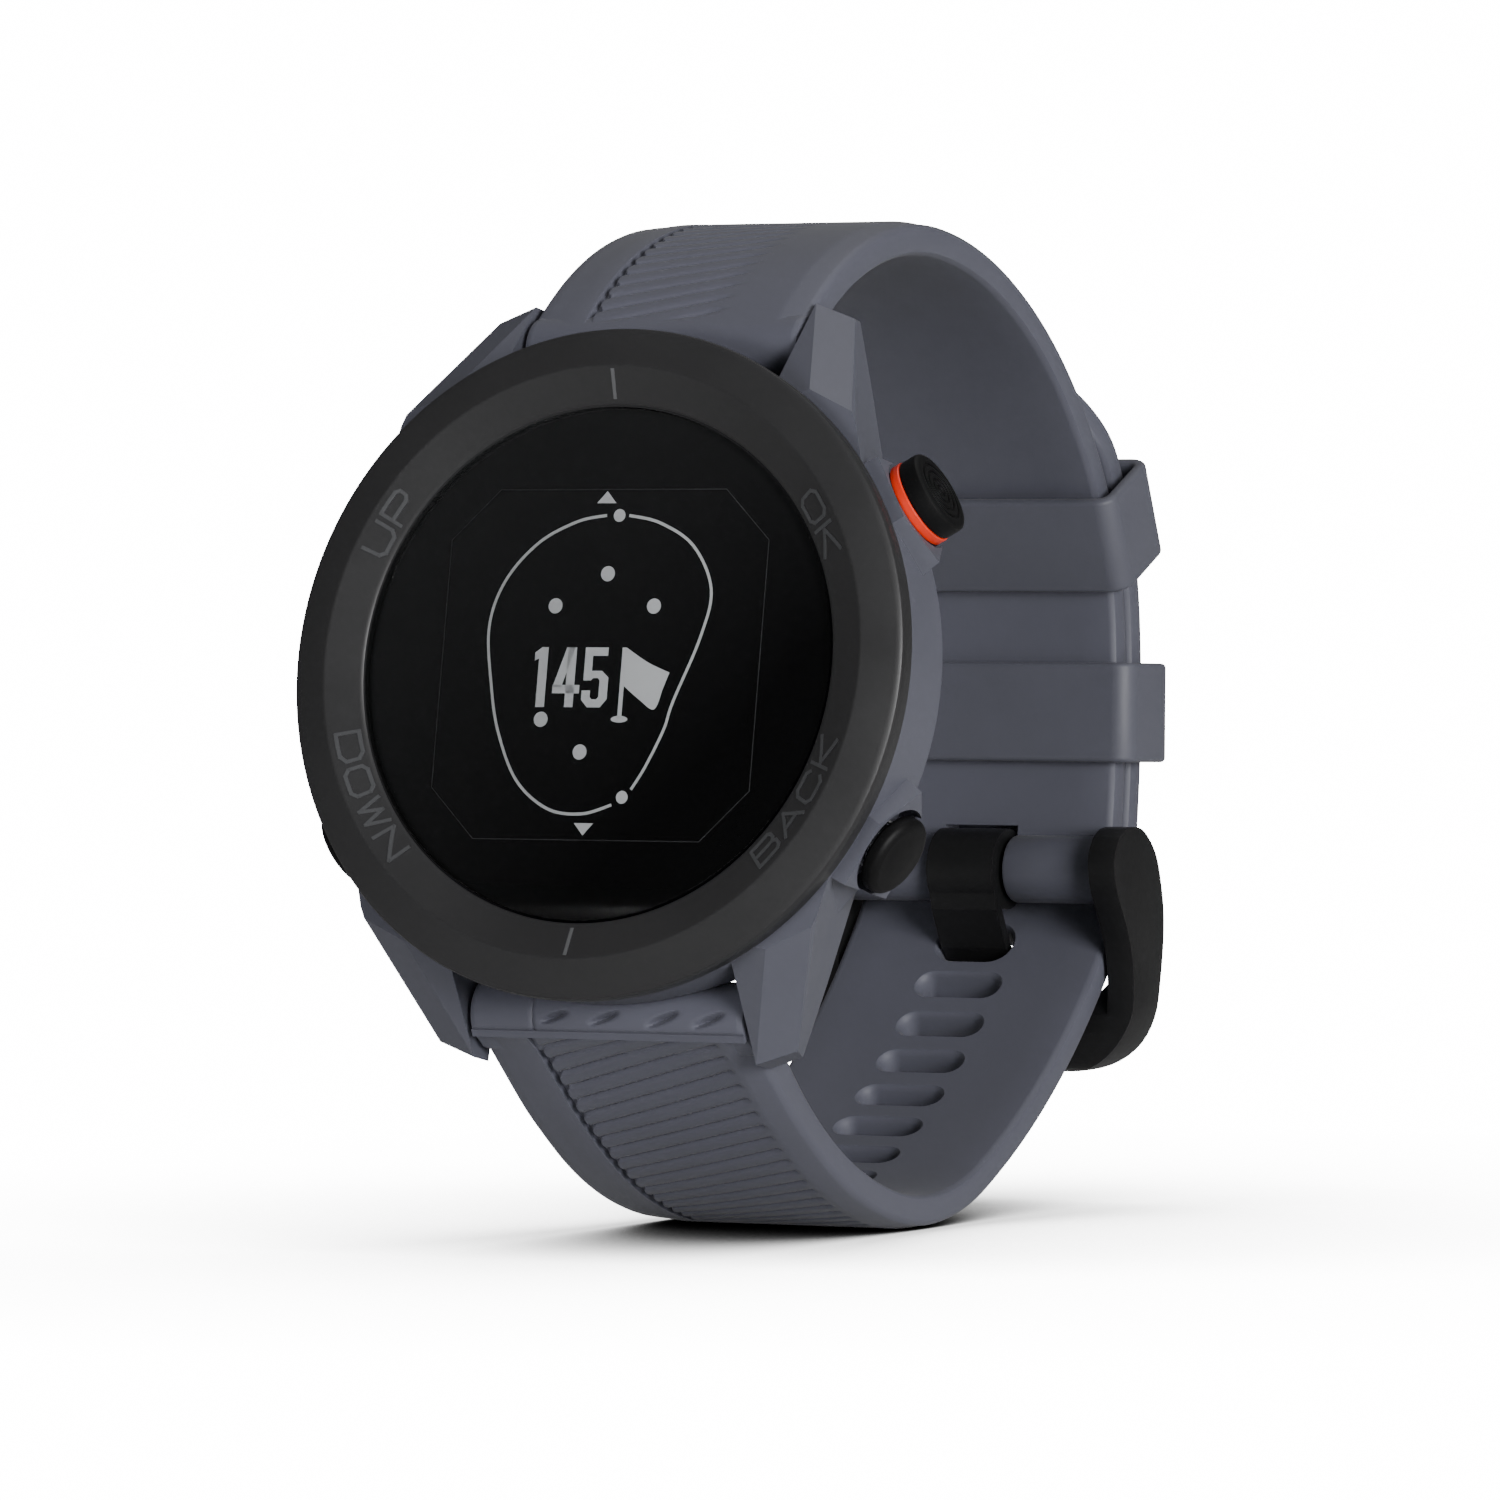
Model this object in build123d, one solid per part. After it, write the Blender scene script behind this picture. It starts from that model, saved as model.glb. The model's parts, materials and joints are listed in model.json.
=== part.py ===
from build123d import *
import math
import os

# Golf GPS watch, buckled as if on a wrist, standing on the bottom of its strap loop.
# Lengths in millimetres.  The case is drawn dial-flat: x to 3 o'clock, y into the watch,
# z to 12 o'clock, origin at the dial centre on the bezel's outer top edge.  The strap loop
# is drawn as a side profile (y back, z up).  place_dial() leans the case back to meet it.

# ---- case and bezel ----
lean_back = 10.15
bezel_radius = 21.85
case_radius = 21.45
cavity_radius = 18.3
ledge_radius = 16.6
case_front = 1.7
case_back = 10.1
button_depth = 5.5
dial_back = 10.66
lens_radius = 16.9
cover_radius = 17.8
screw_circle = 16.4

# ---- display stack (depths from the dial plane) ----
lens_front = 0.15
lens_back = 0.75
chassis_front = 1.75
panel_front = 0.8
panel_back = 1.8
pocket_floor = 2.3
chassis_flange_back = 3.4
board_front = 7.4
board_back = 8.2
panel_half_width = 11.44
panel_half_height = 11.4
panel_chamfer = 3.3

# ---- lugs and spring bars ----
lug_inner_x = 10.2
lug_tip = (10.2, 7.3, 24.8)
lug_outer_corner = (12.95, 7.6, 23.8)
lug_front_facet = (-0.087, -0.785, 0.615)
lug_outer_facet = (0.32, -0.66, 0.68)
lug_end_facet = (0.342, 0, 0.94)
lug_side_facet = (0.916, 0, 0.401)
lug_rear_facet = (1.194, 0.3, 0.3)
bar_depth = 7.8
bar_height = 21.8
bar_tip_radius = 0.4
bar_body_radius = 0.5
tube_outer_radius = 0.9
tube_inner_radius = 0.55
tube_half_length = 9.3
bar_tip_reach = 11.1
release_travel = 1.2
knob_x = 6.0
knob_radius = 0.35
knob_reach = 2.95
running_fit = 0.05

# ---- buttons (distances outward from the dial axis) ----
button_angles = {"ok": 30, "back": -30, "up": 150, "down": 210}
boss_face = 22.35
boss_base = 18.8
boss_outline = [(3.35, -3.3), (3.35, 1.6), (-0.6, 4.8), (-3.55, 1.6), (-3.35, -3.3)]
boss_point_side = {"ok": -1, "back": 1, "up": 1, "down": -1}
recess_radius = 3.1
recess_floor = 20.4
cap_under = 22.2
stem_radius = 0.9
stem_inner_end = 17.3
clip_inner = 17.75
clip_outer = 18.1
seal_inner = 18.4
seal_outer = 19.1
seal_radius = 1.35
ok_cap_face = 24.3
dome_cap_face = 23.5

# ---- strap ----
strap_thickness = 2.3
strap_half_width = 9.9
layer_gap = 0.32
roll_radius = 2.35
roll_recess_radius = 2.8
upper_heading = 41.88
upper_arcs = [(26.9, -49.41), (35.51, -47.42), (22.07, -31.05), (63.97, -15.18)]
lower_arcs = [(6.5, -28.5), (57.7, -27.8), (22.7, -33.3), (32.8, -41.4), (800, -0.16)]
tail_sweep = 13.0
tail_tip_radius = 9.9
slot_width = 6.5
slot_length = 3.0
slot_pitch = 4.05
engaged_slot = 6.3
slots_toward_case = 7
slots_toward_tip = 5

# ---- buckle ----
pin_radius = 0.75
pin_half_length = 12.25
arm_inner_x = 10.3
arm_outer_x = 12.3
tongue_half_width = 2.5
tongue_thickness = 0.75
notch_half_width = 2.8
hub_radius = 2.4
hub_wrap_radius = 2.8
hub_wrap_shift = 0.4
frame_profile = [
    (54.9, -12.6), (54.1, -14.0), (54.5, -16.2), (56.3, -19.0), (57.3, -21.6), (57.3, -24.6),
    (56.8, -26.6), (56.9, -28.3), (58.0, -28.95), (60.0, -28.9), (61.0, -27.6), (61.4, -25.0),
    (62.3, -21.0), (62.5, -18.2), (62.0, -15.8), (61.0, -13.7), (58.8, -12.1), (56.3, -12.0),
]
frame_bottom = -28.95
crossbar_top = -26.2
inner_corner = 6.5
frame_strap_gap = 0.65
outer_corner = 5.0
tongue_path = [(56.0, -16.4), (56.35, -17.6), (57.9, -20.3), (61.45, -24.4), (61.75, -27.3)]

# ---- keepers ----
keeper_half_length = 3.45
keeper_wall = 0.9
keeper_clearance = 0.29
keeper_curve_allowance = {"lower_keeper": 0.0, "upper_keeper": 0.28}
keeper_half_width = 11.5
lower_keeper_height = -4.1
upper_keeper_heading = -67.8
keeper_tilt = {"lower_keeper": 0.0, "upper_keeper": 2.5}

nodes = {}


def place_dial(shape):
    return Rot(-lean_back, 0, 0) * shape


def turned(profile):
    """Solid turned about the dial axis from (radius, depth) points."""
    return revolve(make_face(Polyline(*profile, close=True)), axis=Axis.Y)


def disc(radius, front, back):
    return turned([(0, front), (radius, front), (radius, back), (0, back)])


def ring(outer, inner, front, back):
    return turned([(inner, front), (outer, front), (outer, back), (inner, back)])


def rod(radius, x0, x1):
    """Round bar along x."""
    return Plane.YZ.offset(x0) * extrude(Circle(radius), amount=x1 - x0)


def tube(outer, inner, x0, x1):
    return rod(outer, x0, x1) - rod(inner, x0 - 1, x1 + 1)


def side_prism(points, half_width):
    """Prism along x from a closed (y, z) outline."""
    face = Plane.YZ * make_face(Polyline(*points, close=True))
    return extrude(face, amount=half_width, both=True)


def block(x0, x1, y0, y1, z0, z1):
    centre = Pos((x0 + x1) / 2, (y0 + y1) / 2, (z0 + z1) / 2)
    return centre * Box(x1 - x0, y1 - y0, z1 - z0)


def trim(solid, point, normal):
    """Cut away everything beyond the plane through point."""
    return solid - Plane(origin=point, z_dir=normal) * Pos(0, 0, 50) * Box(200, 200, 100)


# ================= case =================

def lug():
    body = block(lug_inner_x, 22, case_front, 9.9, 6, 26)
    body = trim(body, lug_tip, lug_front_facet)
    body = trim(body, lug_tip, lug_outer_facet)
    body = trim(body, lug_outer_corner, lug_end_facet)
    body = trim(body, lug_outer_corner, lug_side_facet)
    body = trim(body, lug_outer_corner, lug_rear_facet)
    body = trim(body, (0, 9.4, 24), (0, 0.99, 0.1))
    return body


def four_lugs():
    right = lug() + mirror(lug(), about=Plane.XY)
    return right + mirror(right, about=Plane.YZ)


def at_button(name, shape):
    return Rot(0, -button_angles[name], 0) * Pos(0, button_depth, 0) * shape


def boss(name):
    """Five-sided platform under a button, its point toward the 3 or 9 o'clock side."""
    side = boss_point_side[name]
    outline = [(y, z * side) for y, z in boss_outline][::side]
    face = make_face(Polyline(*outline, close=True))
    return Plane.YZ.offset(boss_base) * extrude(face, amount=boss_face - boss_base, taper=5)


def button_bore():
    recess = rod(recess_radius, recess_floor, 30)
    stem_hole = rod(stem_radius + running_fit, 15, 30)
    seal_seat = rod(seal_radius, 17, seal_outer)
    return recess + stem_hole + seal_seat


def roll_recess(side):
    centre = Pos(0, bar_depth, side * bar_height)
    gap = centre * rod(roll_recess_radius, -lug_inner_x, lug_inner_x)
    tips = centre * rod(bar_tip_radius + running_fit, -bar_tip_reach - 0.2, bar_tip_reach + 0.2)
    clear = Pos(0, bar_depth, side * (bar_height + 5)) * Box(2 * lug_inner_x, 12, 10)
    return gap + tips + clear


def screw_spots():
    return PolarLocations(screw_circle, 4, 45)


def screw_posts():
    posts = [Rot(-90, 0, 0) * loc * Pos(0, 0, 6.4) * extrude(Circle(1.5), amount=2.35) for loc in screw_spots()]
    return posts[0] + posts[1] + posts[2] + posts[3]


def screw_holes(radius, front, back):
    holes = [Rot(-90, 0, 0) * loc * Pos(0, 0, front) * extrude(Circle(radius), amount=back - front)
             for loc in screw_spots()]
    return holes[0] + holes[1] + holes[2] + holes[3]


def case_middle():
    body = turned([(0, case_front), (21.1, case_front), (case_radius, 2.05), (case_radius, 6.8),
                   (18.6, case_back), (0, case_back)])
    body = body + four_lugs()
    for name in button_angles:
        body = body + at_button(name, boss(name))
    body = body - disc(cavity_radius, 0, 8.25)
    body = body - disc(ledge_radius, 0, 20)
    body = body - disc(cover_radius + running_fit, 8.75, 20)
    body = body + screw_posts()
    body = body - screw_holes(0.6, 5, 12)
    for name in button_angles:
        body = body - at_button(name, button_bore())
    return body - roll_recess(1) - roll_recess(-1)


def bezel():
    body = turned([(16.95, 0.13), (19.27, -0.84), (21.6, 0), (bezel_radius, 0.35), (21.7, case_front),
                   (16.95, case_front)])
    for side in (1, -1):
        tick = Pos(0, -0.35, side * 18.1) * Rot(side * 22.7, 0, 0) * Box(0.45, 0.5, 1.9)
        body = body - tick
    return body


def panel_outline(extra):
    w = panel_half_width + extra
    h = panel_half_height + extra
    c = panel_chamfer
    return Polyline((-w, h - c), (-w + c, h), (w - c, h), (w, h - c), (w, c - h), (w - c, -h), (c - w, -h),
                    (-w, c - h), close=True)


def panel_prism(extra, front, back):
    face = Rot(90, 0, 0) * make_face(panel_outline(extra))
    return Pos(0, back, 0) * extrude(face, amount=back - front, dir=(0, -1, 0))


def inner_chassis():
    body = disc(18.0, chassis_front, chassis_flange_back) + disc(14.5, chassis_flange_back, board_front)
    body = body - panel_prism(0.15, 1, pocket_floor)
    body = body - block(-9.6, 9.6, 4.3, 8, -12.1, 6.1)
    return body - block(-5.2, 5.2, 5.2, 8, 6.8, 12.0)


def main_board():
    board = disc(16.4, board_front, board_back) - screw_holes(1.7, 6, 9)
    for x, z, w, h in ((-6, 9, 4, 4), (5, 8.5, 5, 3), (0, -6, 7, 7), (9, -4, 3, 5)):
        board = board + block(x - w / 2, x + w / 2, board_back, board_back + 0.45, z - h / 2, z + h / 2)
    return board


def button_switches():
    blocks = [at_button(name, block(14.9, 16.5, -1.2, board_front - button_depth, -1.4, 1.4)) for name in button_angles]
    return blocks[0] + blocks[1] + blocks[2] + blocks[3]


def rear_cover():
    cover = turned([(0, 8.95), (cover_radius, 8.95), (cover_radius, 10.3), (17.4, dial_back), (0, dial_back)])
    cover = cover - screw_holes(0.65, 8, 11) - screw_holes(1.15, 10.0, 11)
    port = block(-3.6, 3.6, 9.7, 11, -11.6, -8.4)
    return cover - port - contact_row(0.42, 8, 11)


def rear_screws():
    screws = screw_holes(1.1, 10.0, 10.55) + screw_holes(0.6, 6.6, 10.0)
    slots = [Rot(0, 45 + 90 * k, 0) * Pos(screw_circle, 10.5, 0) * Box(1.5, 0.4, 0.3) for k in range(4)]
    return screws - slots[0] - slots[1] - slots[2] - slots[3]


def contact_row(radius, front, back):
    pins = [Pos(x, front, -10) * Rot(-90, 0, 0) * extrude(Circle(radius), amount=back - front)
            for x in (-2.4, -0.8, 0.8, 2.4)]
    return pins[0] + pins[1] + pins[2] + pins[3]


def make_case():
    nodes["case_middle"] = case_middle()
    nodes["bezel"] = bezel()
    nodes["lens"] = disc(lens_radius, lens_front, lens_back)
    nodes["lens_gasket"] = ring(lens_radius, 15.8, lens_back, chassis_front)
    nodes["display_panel"] = panel_prism(0, panel_front, panel_back)
    nodes["light_guide"] = panel_prism(0, panel_back, pocket_floor)
    nodes["inner_chassis"] = inner_chassis()
    nodes["battery"] = block(-9.5, 9.5, 4.3, 7.3, -12, 6)
    nodes["gps_antenna"] = block(-5, 5, 5.2, board_front, 7, 11.8)
    nodes["main_board"] = main_board()
    nodes["button_switches"] = button_switches()
    nodes["rear_gasket"] = ring(cover_radius - 0.1, 16.8, 8.75, 8.95) - screw_holes(0.65, 8, 10)
    nodes["rear_cover"] = rear_cover()
    nodes["rear_screws"] = rear_screws()
    nodes["charging_contacts"] = contact_row(0.4, board_back, 10.1)
    for name in button_angles:
        make_button(name)
    for name in list(nodes):
        nodes[name] = place_dial(nodes[name])


# ================= buttons =================

def turned_cap(profile):
    return revolve(make_face(Polyline(*profile, close=True)), axis=Axis.X)


def flat_cap():
    cap = turned_cap([(cap_under, 0), (cap_under, 2.4), (22.7, 2.4), (22.7, 2.8), (24.05, 2.8),
                      (ok_cap_face, 2.55), (ok_cap_face, 0)])
    grooves = [tube(r + 0.12, r - 0.12, ok_cap_face - 0.12, 25) for r in (0.7, 1.3, 1.9)]
    return cap - grooves[0] - grooves[1] - grooves[2]


def dome_cap():
    rim = 22.75
    radius = 2.7
    dome_radius = ((dome_cap_face - rim) ** 2 + radius ** 2) / (2 * (dome_cap_face - rim))
    half_angle = math.asin(radius / dome_radius) / 2
    middle = (dome_cap_face - dome_radius + dome_radius * math.cos(half_angle), dome_radius * math.sin(half_angle))
    outline = Polyline((dome_cap_face, 0), (cap_under, 0), (cap_under, radius), (rim, radius)).edges()
    crown = ThreePointArc((rim, radius), middle, (dome_cap_face, 0))
    return revolve(make_face(outline + [crown]), axis=Axis.X)


def make_button(name):
    cap = flat_cap() if name == "ok" else dome_cap()
    stem = rod(stem_radius, stem_inner_end, cap_under)
    neck = tube(stem_radius + 1, stem_radius - 0.2, clip_inner, clip_outer)
    nodes[name + "_button"] = at_button(name, cap + stem - neck)
    nodes[name + "_clip"] = at_button(name, tube(1.7, stem_radius - 0.2, clip_inner, clip_outer))
    nodes[name + "_spring"] = at_button(name, tube(1.9, 1.3, recess_floor, cap_under))
    nodes[name + "_seal"] = at_button(name, tube(seal_radius, stem_radius + running_fit, seal_inner, seal_outer))
    if name == "ok":
        nodes["ok_accent_ring"] = at_button(name, tube(2.85, 2.4, cap_under + 0.05, 22.7))


# ================= strap loop =================

def direction(angle):
    return (math.cos(math.radians(angle)), math.sin(math.radians(angle)))


def step(point, angle, distance):
    d = direction(angle)
    return (point[0] + distance * d[0], point[1] + distance * d[1])


def arc_path(start, heading, arcs):
    """Tangent arcs as (centre, radius, first angle, sweep) from a start point and heading."""
    path = []
    for radius, sweep in arcs:
        side = math.copysign(90, sweep)
        centre = step(start, heading + side, radius)
        first = heading - side
        path.append((centre, radius, first, sweep))
        start = step(centre, first + sweep, radius)
        heading = heading + sweep
    return path


def path_end(path):
    centre, radius, first, sweep = path[-1]
    return step(centre, first + sweep, radius)


def path_point(path, distance):
    """Point and outward angle a distance along the path."""
    for centre, radius, first, sweep in path:
        length = radius * math.radians(abs(sweep))
        if distance <= length:
            angle = first + math.copysign(math.degrees(distance / radius), sweep)
            return step(centre, angle, radius), angle
        distance = distance - length
    return path_end(path), path[-1][2] + path[-1][3]


def arc_edge(centre, radius, first, sweep):
    points = [step(centre, first + sweep * k, radius) for k in (0, 0.5, 1)]
    return ThreePointArc(*points)


def slab(path, thickness, half_width):
    """Even-thickness band that follows the path."""
    half = thickness / 2
    edges = [arc_edge(c, r + half, a, s) for c, r, a, s in path]
    edges += [arc_edge(c, r - half, a, s) for c, r, a, s in path]
    c0, r0, a0, s0 = path[0]
    c1, r1, a1, s1 = path[-1]
    edges.append(Line(step(c0, a0, r0 - half), step(c0, a0, r0 + half)))
    edges.append(Line(step(c1, a1 + s1, r1 - half), step(c1, a1 + s1, r1 + half)))
    return extrude(Plane.YZ * make_face(edges), amount=half_width, both=True)


def bar_point(side):
    """Side-view position of a spring bar after the case leans back."""
    t = math.radians(lean_back)
    y = bar_depth * math.cos(t) + side * bar_height * math.sin(t)
    return (y, side * bar_height * math.cos(t) - bar_depth * math.sin(t))


upper_bar = bar_point(1)
lower_bar = bar_point(-1)
upper_path = arc_path(step(upper_bar, upper_heading + 90, roll_radius - strap_thickness / 2), upper_heading,
                      upper_arcs)
end_heading = upper_heading + sum(sweep for radius, sweep in upper_arcs)
barrel_centre = step(path_end(upper_path), end_heading - 90, roll_radius - strap_thickness / 2)
layer_pitch = strap_thickness + layer_gap
joint_point = step(path_end(upper_path), end_heading + 90, layer_pitch)
lower_path = arc_path(joint_point, end_heading, lower_arcs)
tail_arcs = [(upper_arcs[3][0] + layer_pitch, -upper_arcs[3][1]),
             (upper_arcs[2][0] + layer_pitch, -upper_arcs[2][1]),
             (upper_arcs[1][0] + layer_pitch, tail_sweep)]
tail_path = arc_path(joint_point, end_heading + 180, tail_arcs)


def roll(centre, half_width):
    return Pos(0, centre[0], centre[1]) * rod(roll_radius, -half_width, half_width)


def knob_slot(centre, angle):
    """Opening that lets the release knob slide toward the middle of the strap."""
    x0 = knob_x - release_travel - knob_radius - 0.2
    x1 = knob_x + knob_radius + 0.2
    cut = block(x0, x1, 0, 4, -knob_radius - 0.2, knob_radius + 0.2)
    return Pos(0, centre[0], centre[1]) * Rot(angle, 0, 0) * cut


def bar_bore(centre):
    return Pos(0, centre[0], centre[1]) * rod(tube_outer_radius + 0.02, -15, 15)


def upper_strap():
    body = slab(upper_path, strap_thickness, strap_half_width) + roll(upper_bar, strap_half_width)
    body = body + roll(barrel_centre, strap_half_width)
    body = body - bar_bore(upper_bar) - knob_slot(upper_bar, upper_knob_angle)
    y, z = barrel_centre
    body = body - block(-notch_half_width, notch_half_width, y - 6, y + 6, z - 3.2, z + 3.0)
    return body - Pos(0, y, z) * rod(pin_radius + running_fit, -15, 15)


def slot_cutter(path, distance):
    point, angle = path_point(path, distance)
    return Pos(0, point[0], point[1]) * Rot(angle, 0, 0) * Box(slot_width, 8, slot_length)


def tip_rounding():
    """Everything outside a round nose at the free end of the strap."""
    length = sum(r * math.radians(abs(s)) for c, r, a, s in tail_path)
    point, angle = path_point(tail_path, length - tail_tip_radius)
    frame = Pos(0, point[0], point[1]) * Rot(angle, 0, 0)
    beyond = frame * Pos(0, 0, 10) * Box(24, 16, 20)
    nose = frame * Rot(90, 0, 0) * Cylinder(tail_tip_radius, 20)
    return beyond - nose


def heel():
    """Thicker strap where it leaves the lower roll, tapering into the even band."""
    back = sum(r * math.radians(abs(s)) for c, r, a, s in lower_path)
    y, z = lower_bar
    points = [(y, z), (y - 2.1, z - 1.0)]
    for along, extra in ((0.5, 1.5), (2.5, 0.95), (5, 0.5), (8, 0.25), (11, 0.08)):
        point, angle = path_point(lower_path, back - along)
        points.append(step(point, angle, strap_thickness / 2 + extra))
    for along in (11, 8, 5, 2.5, 0.5):
        points.append(path_point(lower_path, back - along)[0])
    return side_prism(points, strap_half_width)


def lower_strap():
    body = slab(lower_path, strap_thickness, strap_half_width) + slab(tail_path, strap_thickness, strap_half_width)
    body = body + roll(lower_bar, strap_half_width) + heel()
    for k in range(slots_toward_case + 1):
        body = body - slot_cutter(lower_path, engaged_slot + slot_pitch * k)
    for k in range(2, slots_toward_tip + 1):
        body = body - slot_cutter(tail_path, slot_pitch * k - engaged_slot)
    return body - bar_bore(lower_bar) - knob_slot(lower_bar, lower_knob_angle) - tip_rounding()


upper_knob_angle = upper_heading - 95
lower_knob_angle = 40.0


def make_spring_bar(prefix, centre, angle):
    at = Pos(0, centre[0], centre[1])
    body = tube(tube_outer_radius, tube_inner_radius, -tube_half_length, tube_half_length)
    nodes[prefix + "_bar_tube"] = at * body - knob_slot(centre, angle)
    fixed = rod(bar_tip_radius, -bar_tip_reach, -8) + rod(bar_body_radius, -tube_half_length, -6)
    nodes[prefix + "_bar_fixed_pin"] = at * fixed
    nodes[prefix + "_bar_spring"] = at * tube(0.5, 0.25, -6, 2)
    release = rod(bar_tip_radius, 8, bar_tip_reach) + rod(bar_body_radius, 2, tube_half_length)
    knob = Pos(knob_x, 0, 0) * Rot(angle, 0, 0) * Rot(-90, 0, 0) * extrude(Circle(knob_radius), amount=knob_reach)
    nodes[prefix + "_bar_release_pin"] = at * (release + knob)


# ================= buckle and keepers =================

def across_rod(radius, x, z):
    """Round bar along y, used to shape the frame's corners."""
    return Pos(x, 58, z) * Rot(90, 0, 0) * Cylinder(radius, 30)


def frame_opening():
    side = arm_inner_x
    inset = side - inner_corner
    opening = block(-side, side, 40, 75, crossbar_top + inner_corner, 0)
    opening = opening + block(-inset, inset, 40, 75, crossbar_top, 0)
    for x in (-inset, inset):
        opening = opening + across_rod(inner_corner, x, crossbar_top + inner_corner)
    return opening


def frame_corner(side):
    """Material outside the rounded bottom corner on one side."""
    x = side * (arm_outer_x - outer_corner)
    z = frame_bottom + outer_corner
    outside = Pos(x + side * 5, 58, z - 5) * Box(10, 40, 10)
    return outside - across_rod(outer_corner, x, z)


def strap_clearance():
    """Space the strap needs where it passes between the frame's arms."""
    offset = strap_thickness / 2 + frame_strap_gap
    points = [(45, -34)]
    for along in (14, 11, 8, 5, 3, 1):
        point, angle = path_point(lower_path, along)
        points.append(step(point, angle, offset))
    points.append((45, -14))
    return side_prism(points, arm_inner_x)


def buckle_frame():
    y, z = barrel_centre
    frame = side_prism(frame_profile, arm_outer_x) - frame_opening() - frame_corner(1) - frame_corner(-1)
    frame = frame - strap_clearance()
    return frame - Pos(0, y, z) * rod(pin_radius + running_fit, -15, 15)


def tongue_blade():
    """Flat bar with mitred bends along the tongue path."""
    half = tongue_thickness / 2
    left = []
    right = []
    for k, point in enumerate(tongue_path):
        a = tongue_path[max(k - 1, 0)]
        b = tongue_path[min(k + 1, len(tongue_path) - 1)]
        normal = math.degrees(math.atan2(b[1] - a[1], b[0] - a[0])) + 90
        left.append(step(point, normal, half))
        right.append(step(point, normal, -half))
    return side_prism(left + right[::-1], tongue_half_width)


def buckle_tongue():
    y, z = barrel_centre
    hub = Pos(0, y, z) * rod(hub_radius, -tongue_half_width, tongue_half_width)
    wrap = Pos(0, y - hub_wrap_shift, z) * rod(hub_wrap_radius, -tongue_half_width, tongue_half_width)
    bore = Pos(0, y, z) * rod(pin_radius + running_fit, -5, 5)
    return hub + wrap + tongue_blade() - bore


def keeper(centre, inner_radius, outer_radius, middle_angle, tilt):
    """Straight loop round both strap layers, square to the strap at its middle."""
    thickness = outer_radius - inner_radius
    outer = Box(2 * keeper_half_width, thickness + 2 * keeper_wall, 2 * keeper_half_length)
    opening = Box(2 * (keeper_half_width - keeper_wall), thickness, 20)
    middle = step(centre, middle_angle, (inner_radius + outer_radius) / 2)
    return Pos(0, middle[0], middle[1]) * Rot(middle_angle + tilt, 0, 0) * (outer - opening)


def make_keepers():
    for name, arc in (("lower_keeper", 3), ("upper_keeper", 2)):
        centre, radius, first, sweep = upper_path[arc]
        middle = upper_keeper_heading + 90
        if name == "lower_keeper":
            middle = math.degrees(math.asin((lower_keeper_height - centre[1]) / (radius + layer_pitch / 2)))
        inner = radius - strap_thickness / 2 - keeper_clearance - keeper_curve_allowance[name]
        outer = radius + strap_thickness * 1.5 + layer_gap + keeper_clearance
        nodes[name] = keeper(centre, inner, outer, middle, keeper_tilt[name])
        pivots[name] = centre


def make_strap_loop():
    nodes["upper_strap"] = upper_strap()
    nodes["lower_strap"] = lower_strap()
    make_spring_bar("upper", upper_bar, upper_knob_angle)
    make_spring_bar("lower", lower_bar, lower_knob_angle)
    nodes["buckle_frame"] = buckle_frame()
    nodes["buckle_tongue"] = buckle_tongue()
    nodes["buckle_pin"] = Pos(0, *barrel_centre) * rod(pin_radius, -pin_half_length, pin_half_length)
    make_keepers()


pivots = {"upper_bar": upper_bar, "lower_bar": lower_bar, "buckle_pin": barrel_centre}
make_case()
make_strap_loop()

whole = Compound(children=[shape.solids()[0] if len(shape.solids()) == 1 else Compound(shape.solids())
                           for shape in nodes.values()]).bounding_box()
rest = Pos(-whole.center().X, -whole.center().Y, -whole.min.Z)
print("shift", -whole.center().X, -whole.center().Y, -whole.min.Z)
for name, point in pivots.items():
    print("pivot", name, point[0], point[1])

os.makedirs("parts", exist_ok=True)
for name, shape in nodes.items():
    export_step(rest * shape, "parts/" + name + ".step")
    box = shape.bounding_box()
    print(name, len(shape.solids()), "solids, volume", round(shape.volume, 2), "size", round(box.size.X, 2),
          round(box.size.Y, 2), round(box.size.Z, 2))
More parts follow.
